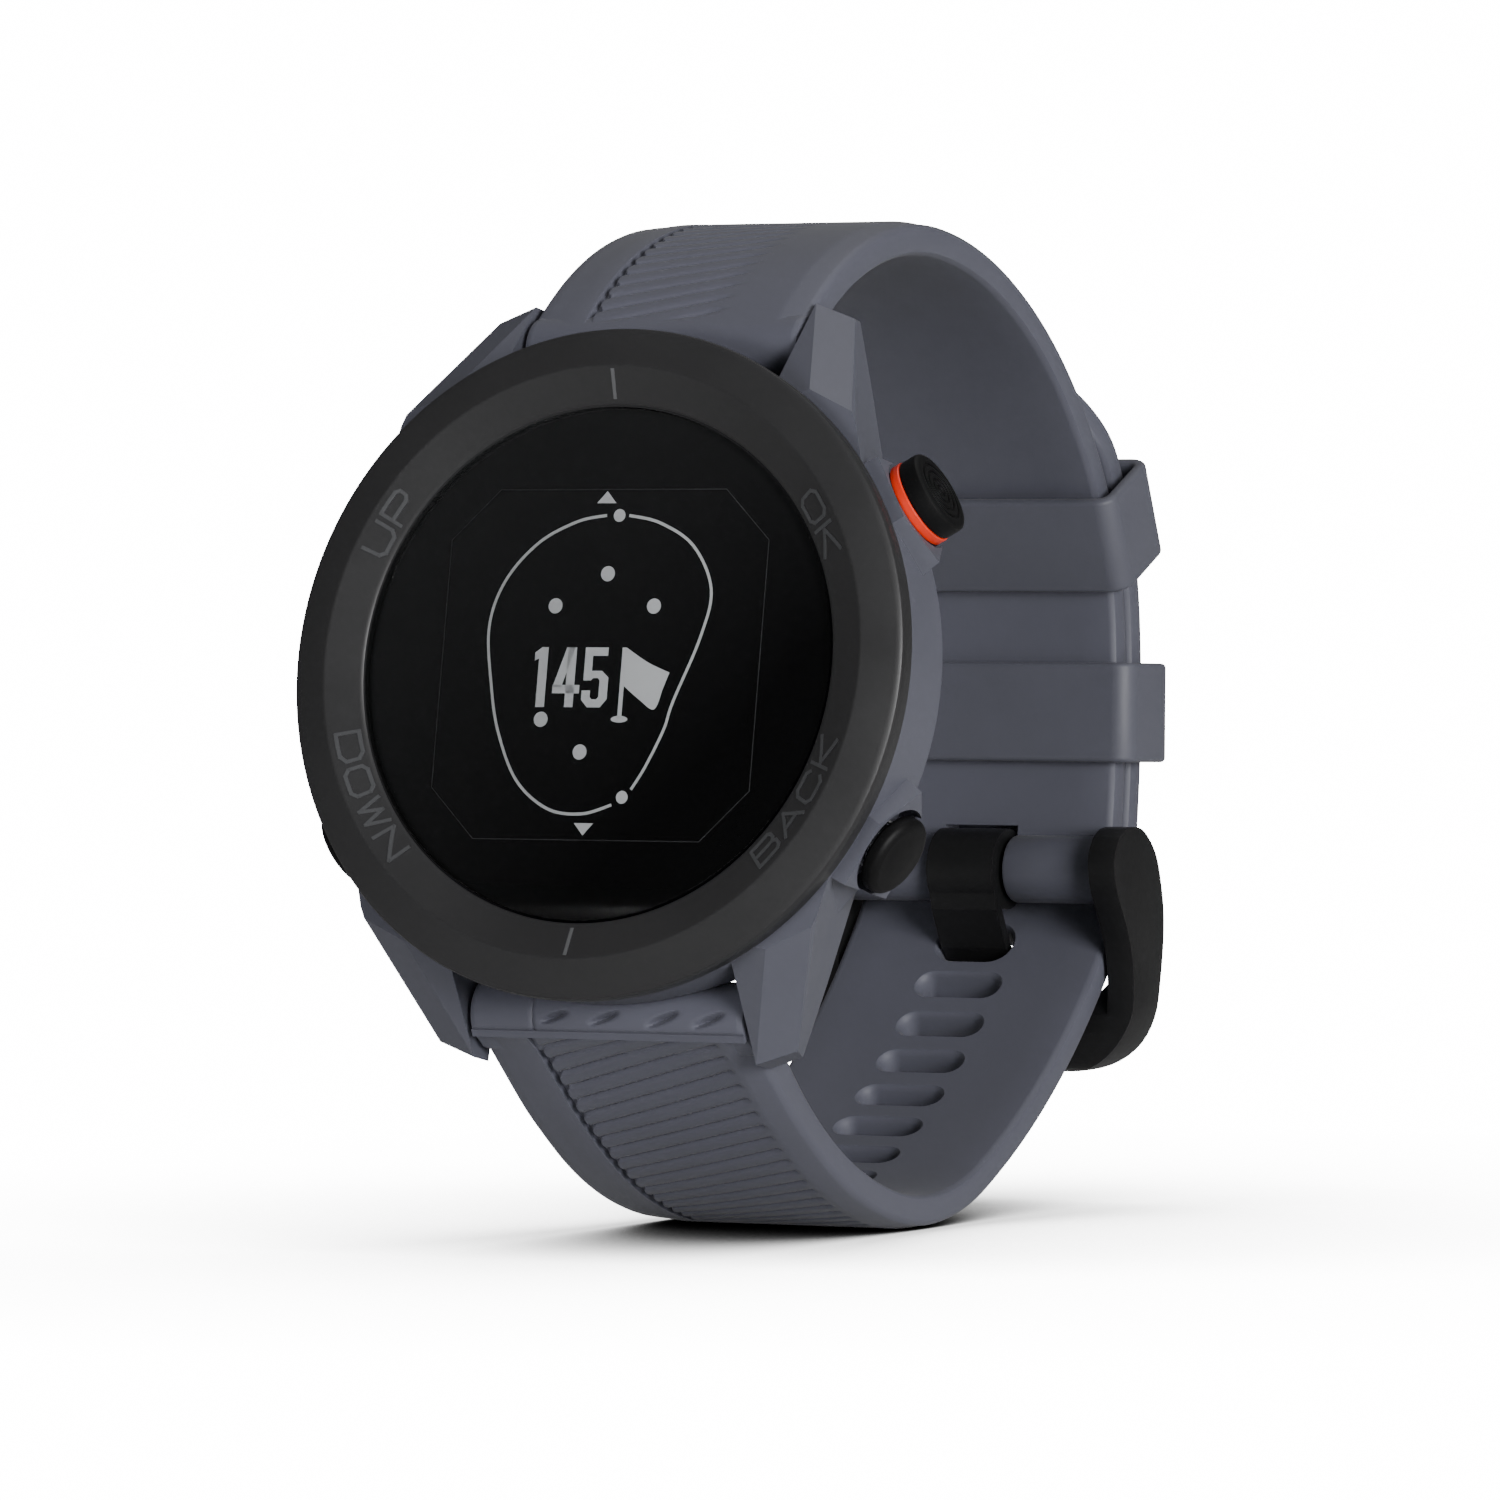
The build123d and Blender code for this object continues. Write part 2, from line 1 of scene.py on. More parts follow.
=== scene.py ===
import bmesh
import bpy
import json
import math
from mathutils import Vector
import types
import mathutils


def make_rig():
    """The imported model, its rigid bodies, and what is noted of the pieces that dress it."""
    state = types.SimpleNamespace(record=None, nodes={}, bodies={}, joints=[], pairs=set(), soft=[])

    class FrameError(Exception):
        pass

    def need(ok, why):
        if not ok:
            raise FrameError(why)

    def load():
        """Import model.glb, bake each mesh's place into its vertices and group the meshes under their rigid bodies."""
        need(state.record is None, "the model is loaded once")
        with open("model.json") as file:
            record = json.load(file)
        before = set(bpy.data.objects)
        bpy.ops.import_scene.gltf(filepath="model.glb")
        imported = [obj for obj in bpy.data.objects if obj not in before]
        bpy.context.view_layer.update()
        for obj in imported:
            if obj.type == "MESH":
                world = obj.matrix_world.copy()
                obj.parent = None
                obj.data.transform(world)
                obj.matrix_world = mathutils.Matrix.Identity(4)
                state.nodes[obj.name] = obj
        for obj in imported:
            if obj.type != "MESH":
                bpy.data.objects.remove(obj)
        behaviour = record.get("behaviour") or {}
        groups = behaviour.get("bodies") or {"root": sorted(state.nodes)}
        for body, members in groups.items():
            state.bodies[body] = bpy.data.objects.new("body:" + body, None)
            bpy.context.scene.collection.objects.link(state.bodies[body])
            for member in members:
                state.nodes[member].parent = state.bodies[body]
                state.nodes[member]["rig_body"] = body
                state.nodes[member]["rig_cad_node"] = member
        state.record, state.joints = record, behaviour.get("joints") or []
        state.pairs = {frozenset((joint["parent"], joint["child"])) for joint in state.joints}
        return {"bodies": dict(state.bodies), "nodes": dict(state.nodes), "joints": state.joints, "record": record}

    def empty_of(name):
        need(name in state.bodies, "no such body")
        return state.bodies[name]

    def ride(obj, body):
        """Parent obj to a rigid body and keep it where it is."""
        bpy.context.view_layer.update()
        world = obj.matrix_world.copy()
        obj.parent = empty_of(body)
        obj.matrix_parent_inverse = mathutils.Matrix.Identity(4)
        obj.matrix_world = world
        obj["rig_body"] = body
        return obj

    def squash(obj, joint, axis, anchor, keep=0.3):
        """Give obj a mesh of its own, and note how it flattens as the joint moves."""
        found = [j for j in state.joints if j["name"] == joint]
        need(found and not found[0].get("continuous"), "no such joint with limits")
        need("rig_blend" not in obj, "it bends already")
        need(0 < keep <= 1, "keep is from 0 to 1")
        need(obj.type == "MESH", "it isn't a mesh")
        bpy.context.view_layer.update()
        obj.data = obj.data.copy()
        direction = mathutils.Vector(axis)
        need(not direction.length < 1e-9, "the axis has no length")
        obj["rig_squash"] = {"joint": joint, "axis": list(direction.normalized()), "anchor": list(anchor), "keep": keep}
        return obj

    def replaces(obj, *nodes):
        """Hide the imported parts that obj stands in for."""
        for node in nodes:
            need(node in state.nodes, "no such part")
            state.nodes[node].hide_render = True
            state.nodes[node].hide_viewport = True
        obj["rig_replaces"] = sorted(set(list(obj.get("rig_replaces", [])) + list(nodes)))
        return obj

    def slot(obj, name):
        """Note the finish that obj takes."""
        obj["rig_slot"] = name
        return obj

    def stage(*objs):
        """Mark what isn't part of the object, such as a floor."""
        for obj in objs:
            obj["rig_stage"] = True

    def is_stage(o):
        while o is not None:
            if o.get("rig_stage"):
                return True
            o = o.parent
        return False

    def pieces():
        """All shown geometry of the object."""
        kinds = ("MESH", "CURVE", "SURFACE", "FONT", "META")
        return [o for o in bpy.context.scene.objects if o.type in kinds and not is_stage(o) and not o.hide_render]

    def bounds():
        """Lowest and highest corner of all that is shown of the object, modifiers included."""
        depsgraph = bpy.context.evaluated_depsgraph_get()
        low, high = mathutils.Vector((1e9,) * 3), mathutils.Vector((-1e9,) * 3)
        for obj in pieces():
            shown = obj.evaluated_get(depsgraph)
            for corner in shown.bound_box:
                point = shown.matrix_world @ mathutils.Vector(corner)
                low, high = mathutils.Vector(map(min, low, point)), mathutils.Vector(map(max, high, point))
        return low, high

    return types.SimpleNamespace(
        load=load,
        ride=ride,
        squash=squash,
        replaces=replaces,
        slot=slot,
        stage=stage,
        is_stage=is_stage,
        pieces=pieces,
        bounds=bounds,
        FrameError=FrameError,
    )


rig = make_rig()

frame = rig.load()
cad_low, cad_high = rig.bounds()

# Drawing frame: millimetres from the dial centre, x to 3 o'clock, y away from the viewer, z up.
# Dial frame: the same origin, but leaning back with the case, so z runs to 12 o'clock.
MM = 0.001
LEAN = math.radians(10.15)
COS, SIN = math.cos(LEAN), math.sin(LEAN)
# The spring bars lie this far behind the dial, and this far above and below its centre.
BAR_DEPTH, BAR_HEIGHT = 7.8, 21.8
joints = {j["name"]: j for j in frame["record"]["behaviour"]["joints"]}
upper_pivot = Vector(joints["upper_strap_swing"]["pos_m"])
lower_pivot = Vector(joints["lower_strap_swing"]["pos_m"])
DIAL = (upper_pivot + lower_pivot) / 2 - Vector((0, COS, -SIN)) * BAR_DEPTH * MM


def drawn(x, y, z):
    return DIAL + Vector((x, y, z)) * MM


def dial(x, y, z):
    return drawn(x, y * COS + z * SIN, z * COS - y * SIN)


# ================= materials =================

def linear(value):
    value = value / 255
    return value / 12.92 if value <= 0.04045 else ((value + 0.055) / 1.055) ** 2.4


def colour(rgb, gain=1.0):
    """Shader colour from display values of 0 to 255."""
    return tuple(min(1, linear(v) * gain) for v in rgb) + (1,)


def finish(name, rgb, roughness, metallic=0.0, grain=1800, bump=0.1, patch=140, vary=0.12, coat=0.0, sheen=0.0,
           streak=None, specular=0.5):
    """Principled finish: fine grain in the bump, slow patches in colour and roughness."""
    material = bpy.data.materials.new(name)
    material.use_nodes = True
    nodes, links = material.node_tree.nodes, material.node_tree.links
    shader = nodes["Principled BSDF"]
    shader.inputs["Metallic"].default_value = metallic
    shader.inputs["Specular IOR Level"].default_value = specular
    shader.inputs["Coat Weight"].default_value = coat
    shader.inputs["Coat Roughness"].default_value = 0.08
    shader.inputs["Sheen Weight"].default_value = sheen
    shader.inputs["Sheen Roughness"].default_value = 0.45
    where = nodes.new("ShaderNodeTexCoord")
    stretch = nodes.new("ShaderNodeMapping")
    stretch.inputs["Scale"].default_value = streak or (1, 1, 1)
    links.new(where.outputs["Object"], stretch.inputs["Vector"])
    fine = nodes.new("ShaderNodeTexNoise")
    fine.inputs["Scale"].default_value = grain
    fine.inputs["Detail"].default_value = 4
    links.new(stretch.outputs["Vector"], fine.inputs["Vector"])
    slow = nodes.new("ShaderNodeTexNoise")
    slow.inputs["Scale"].default_value = patch
    slow.inputs["Detail"].default_value = 5
    links.new(where.outputs["Object"], slow.inputs["Vector"])
    tint = nodes.new("ShaderNodeMix")
    tint.data_type = "RGBA"
    tint.inputs["A"].default_value = colour(rgb, 1 - vary)
    tint.inputs["B"].default_value = colour(rgb, 1 + vary)
    links.new(slow.outputs["Fac"], tint.inputs["Factor"])
    links.new(tint.outputs["Result"], shader.inputs["Base Color"])
    rough = nodes.new("ShaderNodeMapRange")
    rough.inputs["From Min"].default_value = 0.3
    rough.inputs["From Max"].default_value = 0.7
    rough.inputs["To Min"].default_value = max(0.02, roughness - 0.06)
    rough.inputs["To Max"].default_value = min(1, roughness + 0.06)
    links.new(slow.outputs["Fac"], rough.inputs["Value"])
    links.new(rough.outputs["Result"], shader.inputs["Roughness"])
    relief = nodes.new("ShaderNodeBump")
    relief.inputs["Strength"].default_value = bump
    relief.inputs["Distance"].default_value = 0.00003
    links.new(fine.outputs["Fac"], relief.inputs["Height"])
    links.new(relief.outputs["Normal"], shader.inputs["Normal"])
    return material


def glass_finish():
    """Cover glass: clear, with a Fresnel reflection and faint smears."""
    material = bpy.data.materials.new("lens_glass")
    material.use_nodes = True
    nodes, links = material.node_tree.nodes, material.node_tree.links
    nodes.remove(nodes["Principled BSDF"])
    where = nodes.new("ShaderNodeTexCoord")
    smear = nodes.new("ShaderNodeTexNoise")
    smear.inputs["Scale"].default_value = 90
    smear.inputs["Detail"].default_value = 6
    links.new(where.outputs["Object"], smear.inputs["Vector"])
    rough = nodes.new("ShaderNodeMapRange")
    rough.inputs["To Min"].default_value = 0.02
    rough.inputs["To Max"].default_value = 0.07
    links.new(smear.outputs["Fac"], rough.inputs["Value"])
    clear = nodes.new("ShaderNodeBsdfTransparent")
    clear.inputs["Color"].default_value = (0.96, 0.965, 0.97, 1)
    gloss = nodes.new("ShaderNodeBsdfGlossy")
    links.new(rough.outputs["Result"], gloss.inputs["Roughness"])
    fresnel = nodes.new("ShaderNodeFresnel")
    fresnel.inputs["IOR"].default_value = 1.3
    mix = nodes.new("ShaderNodeMixShader")
    links.new(fresnel.outputs["Fac"], mix.inputs["Fac"])
    links.new(clear.outputs["BSDF"], mix.inputs[1])
    links.new(gloss.outputs["BSDF"], mix.inputs[2])
    links.new(mix.outputs["Shader"], nodes["Material Output"].inputs["Surface"])
    return material


FINISH = {
    "case_grey": finish("case_grey", (84, 85, 95), 0.5, grain=2600, bump=0.10, vary=0.05),
    "bezel_black": finish("bezel_black", (44, 44, 45), 0.44, metallic=0.15, grain=3200, bump=0.22, vary=0.10),
    "lens_glass": glass_finish(),
    "display_black": finish("display_black", (5, 5, 6), 0.5, grain=2000, bump=0.0, vary=0.1, specular=0.05),
    "guide_white": finish("guide_white", (217, 218, 220), 0.3, bump=0.03, vary=0.03),
    "chassis_black": finish("chassis_black", (7, 7, 8), 0.6, bump=0.01, vary=0.05),
    "board_green": finish("board_green", (30, 84, 50), 0.35, bump=0.1, coat=0.3),
    "battery_foil": finish("battery_foil", (168, 171, 176), 0.35, metallic=0.8, grain=500, bump=0.3),
    "antenna_ceramic": finish("antenna_ceramic", (185, 169, 138), 0.6, bump=0.2),
    "cover_grey": finish("cover_grey", (70, 71, 79), 0.5, grain=2600, bump=0.14, vary=0.06),
    "steel": finish("steel", (184, 186, 189), 0.28, metallic=1.0, grain=900, bump=0.12, streak=(1, 12, 12)),
    "contact_gold": finish("contact_gold", (201, 162, 75), 0.25, metallic=1.0, bump=0.05),
    "seal_black": finish("seal_black", (20, 20, 21), 0.7, bump=0.2),
    "button_black": finish("button_black", (8, 8, 9), 0.55, grain=2600, bump=0.15, specular=0.22),
    "accent_red": finish("accent_red", (235, 50, 16), 0.35, grain=2400, bump=0.05, vary=0.08),
    "strap_silicone": finish("strap_silicone", (84, 85, 96), 0.55, grain=2200, bump=0.12, vary=0.05, sheen=0.06),
    "keeper_silicone": finish("keeper_silicone", (82, 83, 93), 0.55, grain=2200, bump=0.12, vary=0.05, sheen=0.06),
    "buckle_black": finish("buckle_black", (14, 14, 15), 0.52, grain=2200, bump=0.4, vary=0.12),
}
FIGURES = finish("figures_grey", (226, 227, 228), 0.5, bump=0.05, vary=0.03)
OUTLINE = finish("outline_grey", (214, 216, 215), 0.5, bump=0.05, vary=0.03)
LEGEND = finish("legend_grey", (77, 78, 80), 0.34, metallic=0.3, grain=3200, bump=0.1, vary=0.1)
TICK = finish("tick_grey", (84, 85, 87), 0.5, bump=0.05, vary=0.05)
FAINT = finish("faint_line", (52, 53, 54), 0.5, bump=0.02, vary=0.05)


# Painted reflection: the black print blends to a lighter grey at the upper left, in place of a soft reflection on the
# glass.
PRINT_PAINTED_REFLECTION = colour((46, 46, 47))
PRINT_DARK = colour((3, 3, 4))
PAINTED_REFLECTION_SLOPE = (0.7, 0, -0.7)
PAINTED_REFLECTION_FADE = (-0.015, 0.010)


def print_finish_with_painted_reflection():
    """Black print behind the glass, with a painted reflection that makes it a little lighter toward the upper left."""
    material = finish("lens_print", (8, 8, 9), 0.8, bump=0.0, vary=0.02, specular=0.0)
    nodes, links = material.node_tree.nodes, material.node_tree.links
    where = nodes.new("ShaderNodeTexCoord")
    lean = nodes.new("ShaderNodeVectorMath")
    lean.operation = "DOT_PRODUCT"
    lean.inputs[1].default_value = PAINTED_REFLECTION_SLOPE
    links.new(where.outputs["Object"], lean.inputs[0])
    middle = PAINTED_REFLECTION_SLOPE[0] * (DIAL.x - DIAL.z)
    spread = nodes.new("ShaderNodeMapRange")
    spread.inputs["From Min"].default_value = middle + PAINTED_REFLECTION_FADE[0]
    spread.inputs["From Max"].default_value = middle + PAINTED_REFLECTION_FADE[1]
    links.new(lean.outputs["Value"], spread.inputs["Value"])
    blend = nodes.new("ShaderNodeMix")
    blend.data_type = "RGBA"
    blend.inputs["A"].default_value = PRINT_PAINTED_REFLECTION
    blend.inputs["B"].default_value = PRINT_DARK
    links.new(spread.outputs["Result"], blend.inputs["Factor"])
    links.new(blend.outputs["Result"], nodes["Principled BSDF"].inputs["Base Color"])
    return material


PRINT_WITH_PAINTED_REFLECTION = print_finish_with_painted_reflection()


# ================= mesh tools =================

SHARP = 32


def smooth_step(value, a, b):
    t = min(1, max(0, (value - a) / (b - a)))
    return t * t * (3 - 2 * t)


def mesh_object(name, points, faces, sharp=SHARP):
    mesh = bpy.data.meshes.new(name)
    mesh.from_pydata([tuple(p) for p in points], [], faces)
    tidy_mesh(mesh, sharp)
    obj = bpy.data.objects.new(name, mesh)
    bpy.context.scene.collection.objects.link(obj)
    return obj


def smooth(mesh, sharp=SHARP):
    """Smooth shading, broken at edges that turn by more than the angle in degrees."""
    mesh.polygons.foreach_set("use_smooth", [True] * len(mesh.polygons))
    mesh.set_sharp_from_angle(angle=math.radians(sharp))


def tidy_mesh(mesh, sharp):
    work = bmesh.new()
    work.from_mesh(mesh)
    bmesh.ops.remove_doubles(work, verts=work.verts, dist=1e-7)
    bmesh.ops.dissolve_degenerate(work, edges=work.edges, dist=1e-8)
    bmesh.ops.recalc_face_normals(work, faces=work.faces)
    work.to_mesh(mesh)
    work.free()
    smooth(mesh, sharp)


def skin(rings, closed_way=False):
    """Quads between closed rings of equal length, with flat end caps where the way is open."""
    count = len(rings[0])
    points = [p for ring in rings for p in ring]
    faces = []
    last = len(rings) if closed_way else len(rings) - 1
    for i in range(last):
        a, b = i * count, ((i + 1) % len(rings)) * count
        for k in range(count):
            n = (k + 1) % count
            faces.append((a + k, a + n, b + n, b + k))
    if not closed_way:
        faces.append(tuple(range(count))[::-1])
        faces.append(tuple(range(len(points) - count, len(points))))
    return points, faces


def lathe(name, profile, place, segments=192, sharp=SHARP):
    """Solid turned from (radius, along) points; place(x, along, z) puts a point in the row frame."""
    rings = []
    for k in range(segments):
        a = 2 * math.pi * k / segments
        rings.append([place(r * math.cos(a), t, r * math.sin(a)) for r, t in profile])
    return mesh_object(name, *skin(rings, closed_way=True), sharp=sharp)


def joined(name, objects):
    """One object from several separate closed meshes."""
    work = bmesh.new()
    for obj in objects:
        work.from_mesh(obj.data)
        bpy.data.objects.remove(obj)
    mesh = bpy.data.meshes.new(name)
    work.to_mesh(mesh)
    work.free()
    smooth(mesh)
    obj = bpy.data.objects.new(name, mesh)
    bpy.context.scene.collection.objects.link(obj)
    return obj


def cut(obj, cutter, operation="DIFFERENCE"):
    """Object cut by the cutter, or kept only inside it with INTERSECT."""
    change = obj.modifiers.new("cut", "BOOLEAN")
    change.operation = operation
    change.solver = "EXACT"
    change.object = cutter
    bpy.context.view_layer.update()
    mesh = bpy.data.meshes.new_from_object(obj.evaluated_get(bpy.context.evaluated_depsgraph_get()))
    obj.modifiers.clear()
    obj.data = mesh
    smooth(mesh)
    bpy.data.objects.remove(cutter)
    return obj


def bevelled(obj, width, segments, angle):
    """Mesh with its sharp edges rounded off."""
    work = bmesh.new()
    work.from_mesh(obj.data)
    bmesh.ops.remove_doubles(work, verts=work.verts, dist=2e-6)
    bmesh.ops.dissolve_limit(work, angle_limit=math.radians(0.5), verts=work.verts, edges=work.edges)
    edges = [e for e in work.edges if len(e.link_faces) == 2 and e.calc_face_angle() > math.radians(angle)]
    bmesh.ops.bevel(work, geom=edges, offset=width * MM, segments=segments, profile=0.5, affect="EDGES",
                    clamp_overlap=True)
    work.to_mesh(obj.data)
    work.free()
    smooth(obj.data, 30)
    return obj


def fit(obj, body, slot, *stands_for, material=None):
    """Finished piece riding a CAD body, in place of the CAD nodes named."""
    obj.data.materials.clear()
    obj.data.materials.append(material or FINISH[slot])
    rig.ride(obj, body)
    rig.slot(obj, slot)
    if stands_for:
        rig.replaces(obj, *stands_for)
    return obj


# ================= strap paths (millimetres, side view y and z) =================

# A path is a chain of tangent arcs, each (radius, sweep in degrees); a heading is an angle from +y.
THICK = 2.3
LAYER_GAP = 0.32
ROLL = 2.35
HALF_WIDTH = 9.95
UPPER_HEADING = 41.88
UPPER_ARCS = [(26.9, -49.41), (35.51, -47.42), (22.07, -31.05), (63.97, -15.18)]
LOWER_ARCS = [(6.5, -28.5), (57.7, -27.8), (22.7, -33.3), (32.8, -41.4), (800, -0.16)]
TAIL_SWEEP = 13.0
TIP_RADIUS = 9.9
ENGAGED_SLOT = 6.3
SLOT_PITCH = 4.05


def step(point, angle, distance):
    a = math.radians(angle)
    return (point[0] + distance * math.cos(a), point[1] + distance * math.sin(a))


def arc_path(start, heading, arcs):
    """Chain of (centre, radius, first angle, sweep) arcs, each tangent to the one before."""
    path = []
    for radius, sweep in arcs:
        side = math.copysign(90, sweep)
        centre = step(start, heading + side, radius)
        first = heading - side
        path.append((centre, radius, first, sweep))
        start = step(centre, first + sweep, radius)
        heading += sweep
    return path


def path_length(path):
    return sum(radius * math.radians(abs(sweep)) for centre, radius, first, sweep in path)


def path_point(path, distance):
    """Point and outward angle at a distance along the path."""
    for centre, radius, first, sweep in path:
        length = radius * math.radians(abs(sweep))
        if distance <= length:
            angle = first + math.copysign(math.degrees(distance / radius), sweep)
            return step(centre, angle, radius), angle
        distance -= length
    centre, radius, first, sweep = path[-1]
    return step(centre, first + sweep, radius), first + sweep


def bar_point(side):
    return (BAR_DEPTH * COS + side * BAR_HEIGHT * SIN, side * BAR_HEIGHT * COS - BAR_DEPTH * SIN)


UPPER_BAR, LOWER_BAR = bar_point(1), bar_point(-1)
upper_path = arc_path(step(UPPER_BAR, UPPER_HEADING + 90, ROLL - THICK / 2), UPPER_HEADING, UPPER_ARCS)
END_HEADING = UPPER_HEADING + sum(sweep for radius, sweep in UPPER_ARCS)
upper_end = path_point(upper_path, 1e6)[0]
BARREL = step(upper_end, END_HEADING - 90, ROLL - THICK / 2)
PITCH = THICK + LAYER_GAP
JOINT = step(upper_end, END_HEADING + 90, PITCH)
lower_path = arc_path(JOINT, END_HEADING, LOWER_ARCS)
tail_arcs = [(UPPER_ARCS[3][0] + PITCH, -UPPER_ARCS[3][1]), (UPPER_ARCS[2][0] + PITCH, -UPPER_ARCS[2][1]),
             (UPPER_ARCS[1][0] + PITCH, TAIL_SWEEP)]
tail_path = arc_path(JOINT, END_HEADING + 180, tail_arcs)


# ================= straps =================

# Points across the outer face, close together at the long groove and the rib ends.
OUTER_U = ([-8.2, -7.6, -7.0, -6.5, -6.2, -6.02, -5.94, -5.86, -5.78, -5.7, -5.62, -5.54, -5.46, -5.38, -5.3, -5.2,
            -5.05, -4.85, -4.6] + [-4.4 + 0.2 * k for k in range(56)] + [7.0, 7.3, 7.45, 7.6, 7.75, 7.9, 8.1, 8.3])
# The strap's rounded edge, from the outer face to the inner one: (across, above the centre line).
EDGE = [(8.8, 0.99), (9.5, 0.92), (9.68, 0.85), (9.9, 0.62), (9.95, 0.5), (9.95, -0.72), (9.88, -0.92),
        (9.65, -1.1), (9.4, -1.15)]
INNER_U = (7, 5, 3, 1, -1, -3, -5, -7)
CROWN_START = 7.2
CROWN_SHIFT = 0.8
CROWN_SLOPE = 0.13
RIB_PITCH = 1.4
RIB_SLANT = 0.38
RIB_FADE_IN, RIB_FADE_OUT = 0.8, 1.5
GROOVE_LEFT, GROOVE_RAMP = -5.96, 0.16
GROOVE_DEPTH = 0.42
SCALLOP_LEFT, SCALLOP_REACH = -5.56, 0.42
CREASE_DEPTH, CREASE_WIDTH = 0.27, 0.14
RIB_DOME = 0.04
HEEL_THICK, HEEL_LENGTH = 1.78, 4.2
# Rib zones: start and end along the strap, slant, right limit across it, fade at that limit.
UPPER_RIBS = (0.2, 21.0, -0.3, 4.4, 2.4)
LOWER_RIBS = (-0.9, 27.0, RIB_SLANT, 7.7, 0.35)


def crown(u):
    """Drop of the outer face toward its edges."""
    return CROWN_SLOPE * max(0, abs(u) - CROWN_START - (CROWN_SHIFT if u > 0 else 0))


def relief(s, u, zone):
    """Depth of the moulded rib pattern, s along the strap from the roll and u across it."""
    start, end, slant, right, fade = zone
    along = smooth_step(s, start, start + RIB_FADE_IN) * (1 - smooth_step(s, end - RIB_FADE_OUT, end))
    if along == 0:
        return 0.0
    phase = (s + slant * (u + 6)) / RIB_PITCH
    offset = abs(phase - math.floor(phase) - 0.5) * 2
    scallop = SCALLOP_LEFT + SCALLOP_REACH * offset ** 3
    left_wall = smooth_step(u, GROOVE_LEFT, GROOVE_LEFT + GROOVE_RAMP)
    groove = left_wall * (1 - smooth_step(u, scallop - 0.06, scallop + 0.1))
    across = smooth_step(u, scallop, scallop + 0.2) * (1 - smooth_step(u, right - fade, right))
    away = (1 - offset) * RIB_PITCH / 2
    crease = math.exp(-(away / CREASE_WIDTH) ** 2)
    ribs = CREASE_DEPTH * crease + RIB_DOME * (1 - away / RIB_PITCH * 2)
    return along * (GROOVE_DEPTH * groove + across * ribs)


def heel(s):
    """Extra thickness on the outer face where the lower strap leaves its roll."""
    return HEEL_THICK * math.exp(-s / HEEL_LENGTH) * (1 - smooth_step(s, 8, 13))


def section_ring(point, angle, scale, s, rib_zone, extra=0.0):
    """Closed ring of points round the strap's section at one station."""
    ring = []
    normal = math.radians(angle)
    ny, nz = math.cos(normal), math.sin(normal)

    def put(u, h):
        ring.append(drawn(u * scale, point[0] + h * ny, point[1] + h * nz))

    for u in OUTER_U:
        put(u, THICK / 2 + extra - crown(u) - (relief(s, u, rib_zone) if rib_zone else 0))
    for u, h in EDGE:
        put(u, h + extra * (h / THICK + 0.5))
    for u in INNER_U:
        put(u, -THICK / 2)
    for u, h in reversed(EDGE):
        put(-u, h + extra * (h / THICK + 0.5))
    return ring


def spaced(stop, rib_zone):
    """Distances along a strap, close together over the ribs."""
    values, s = [], 0.0
    while s < stop:
        values.append(s)
        s += 0.125 if rib_zone[0] - 0.3 < s < rib_zone[1] + 0.3 else 0.6
    return values + [stop]


def rounded_box_ring(point, angle, half_u, half_t, corner, height):
    """Rounded-rectangle ring across a strap hole at one height above the centre line."""
    ring = []
    a = math.radians(angle)
    ny, nz = math.cos(a), math.sin(a)
    ty, tz = -nz, ny
    for quarter in range(4):
        cu = (half_u - corner) * (1 if quarter in (0, 3) else -1)
        ct = (half_t - corner) * (1 if quarter in (0, 1) else -1)
        for k in range(7):
            b = math.radians(90 * quarter + 15 * k)
            u = cu + corner * math.cos(b)
            t = ct + corner * math.sin(b)
            ring.append(drawn(u, point[0] + t * ty + height * ny, point[1] + t * tz + height * nz))
    return ring


# Slot walls by height over the centre line: (height, half width, half length past the narrowest part).
SLOT_INNER = [(-1.7, 3.85, 0.8), (-1.15, 3.3, 0.25), (-0.98, 3.12, 0.1), (-0.7, 2.98, 0)]
SLOT_OUTER = [(0.7, 2.9, 0), (0.98, 3.05, 0.1), (1.15, 3.25, 0.25), (1.7, 3.8, 0.8)]
SLOT_MOUTH = 1.0
SLOT_END_FLAT = 0.02
# Each slot's half length at its narrowest, and how much narrower than the table it is.
PLAIN_SLOT = (0.72, 0)
ODD_SLOTS = {0: (1.52, 0.28), 1: (0.5, 0)}


def slot_cutter(point, angle, waist, narrower):
    """Countersunk hole through the strap, longer on the wrist side."""
    mouth = max(SLOT_MOUTH, waist)
    levels = [(h, half_u, mouth + spare) for h, half_u, spare in SLOT_INNER]
    levels += [(h, half_u, waist + spare) for h, half_u, spare in SLOT_OUTER]
    rings = [rounded_box_ring(point, angle, half_u - narrower, half_t, half_t - SLOT_END_FLAT, h)
             for h, half_u, half_t in levels]
    return mesh_object("slot_cutter", *skin(rings))


# Rolled ends. Each notch is (middle along x, half height in degrees).
NOTCHES = [(-3.7, 12), (-0.1, 13), (4.1, 15), (7.4, 15)]
NOTCH_LEAN, NOTCH_DEPTH = 0.072, 0.6
NOTCH_WAIST, NOTCH_SPREAD = 0.16, 0.34
NOTCHES_FACE = math.radians(181)
SEAM_X, SEAM_DEPTH, SEAM_WIDTH = -5.3, 0.16, 0.12
FLAT_FACES, FLAT_RADIUS = math.radians(232.4), 1.99
ROLL_EDGE, ROLL_BREAK = 0.45, 0.13
ROLL_STATIONS = 150
BARREL_EDGE, BARREL_BREAK = 0.3, 0.09


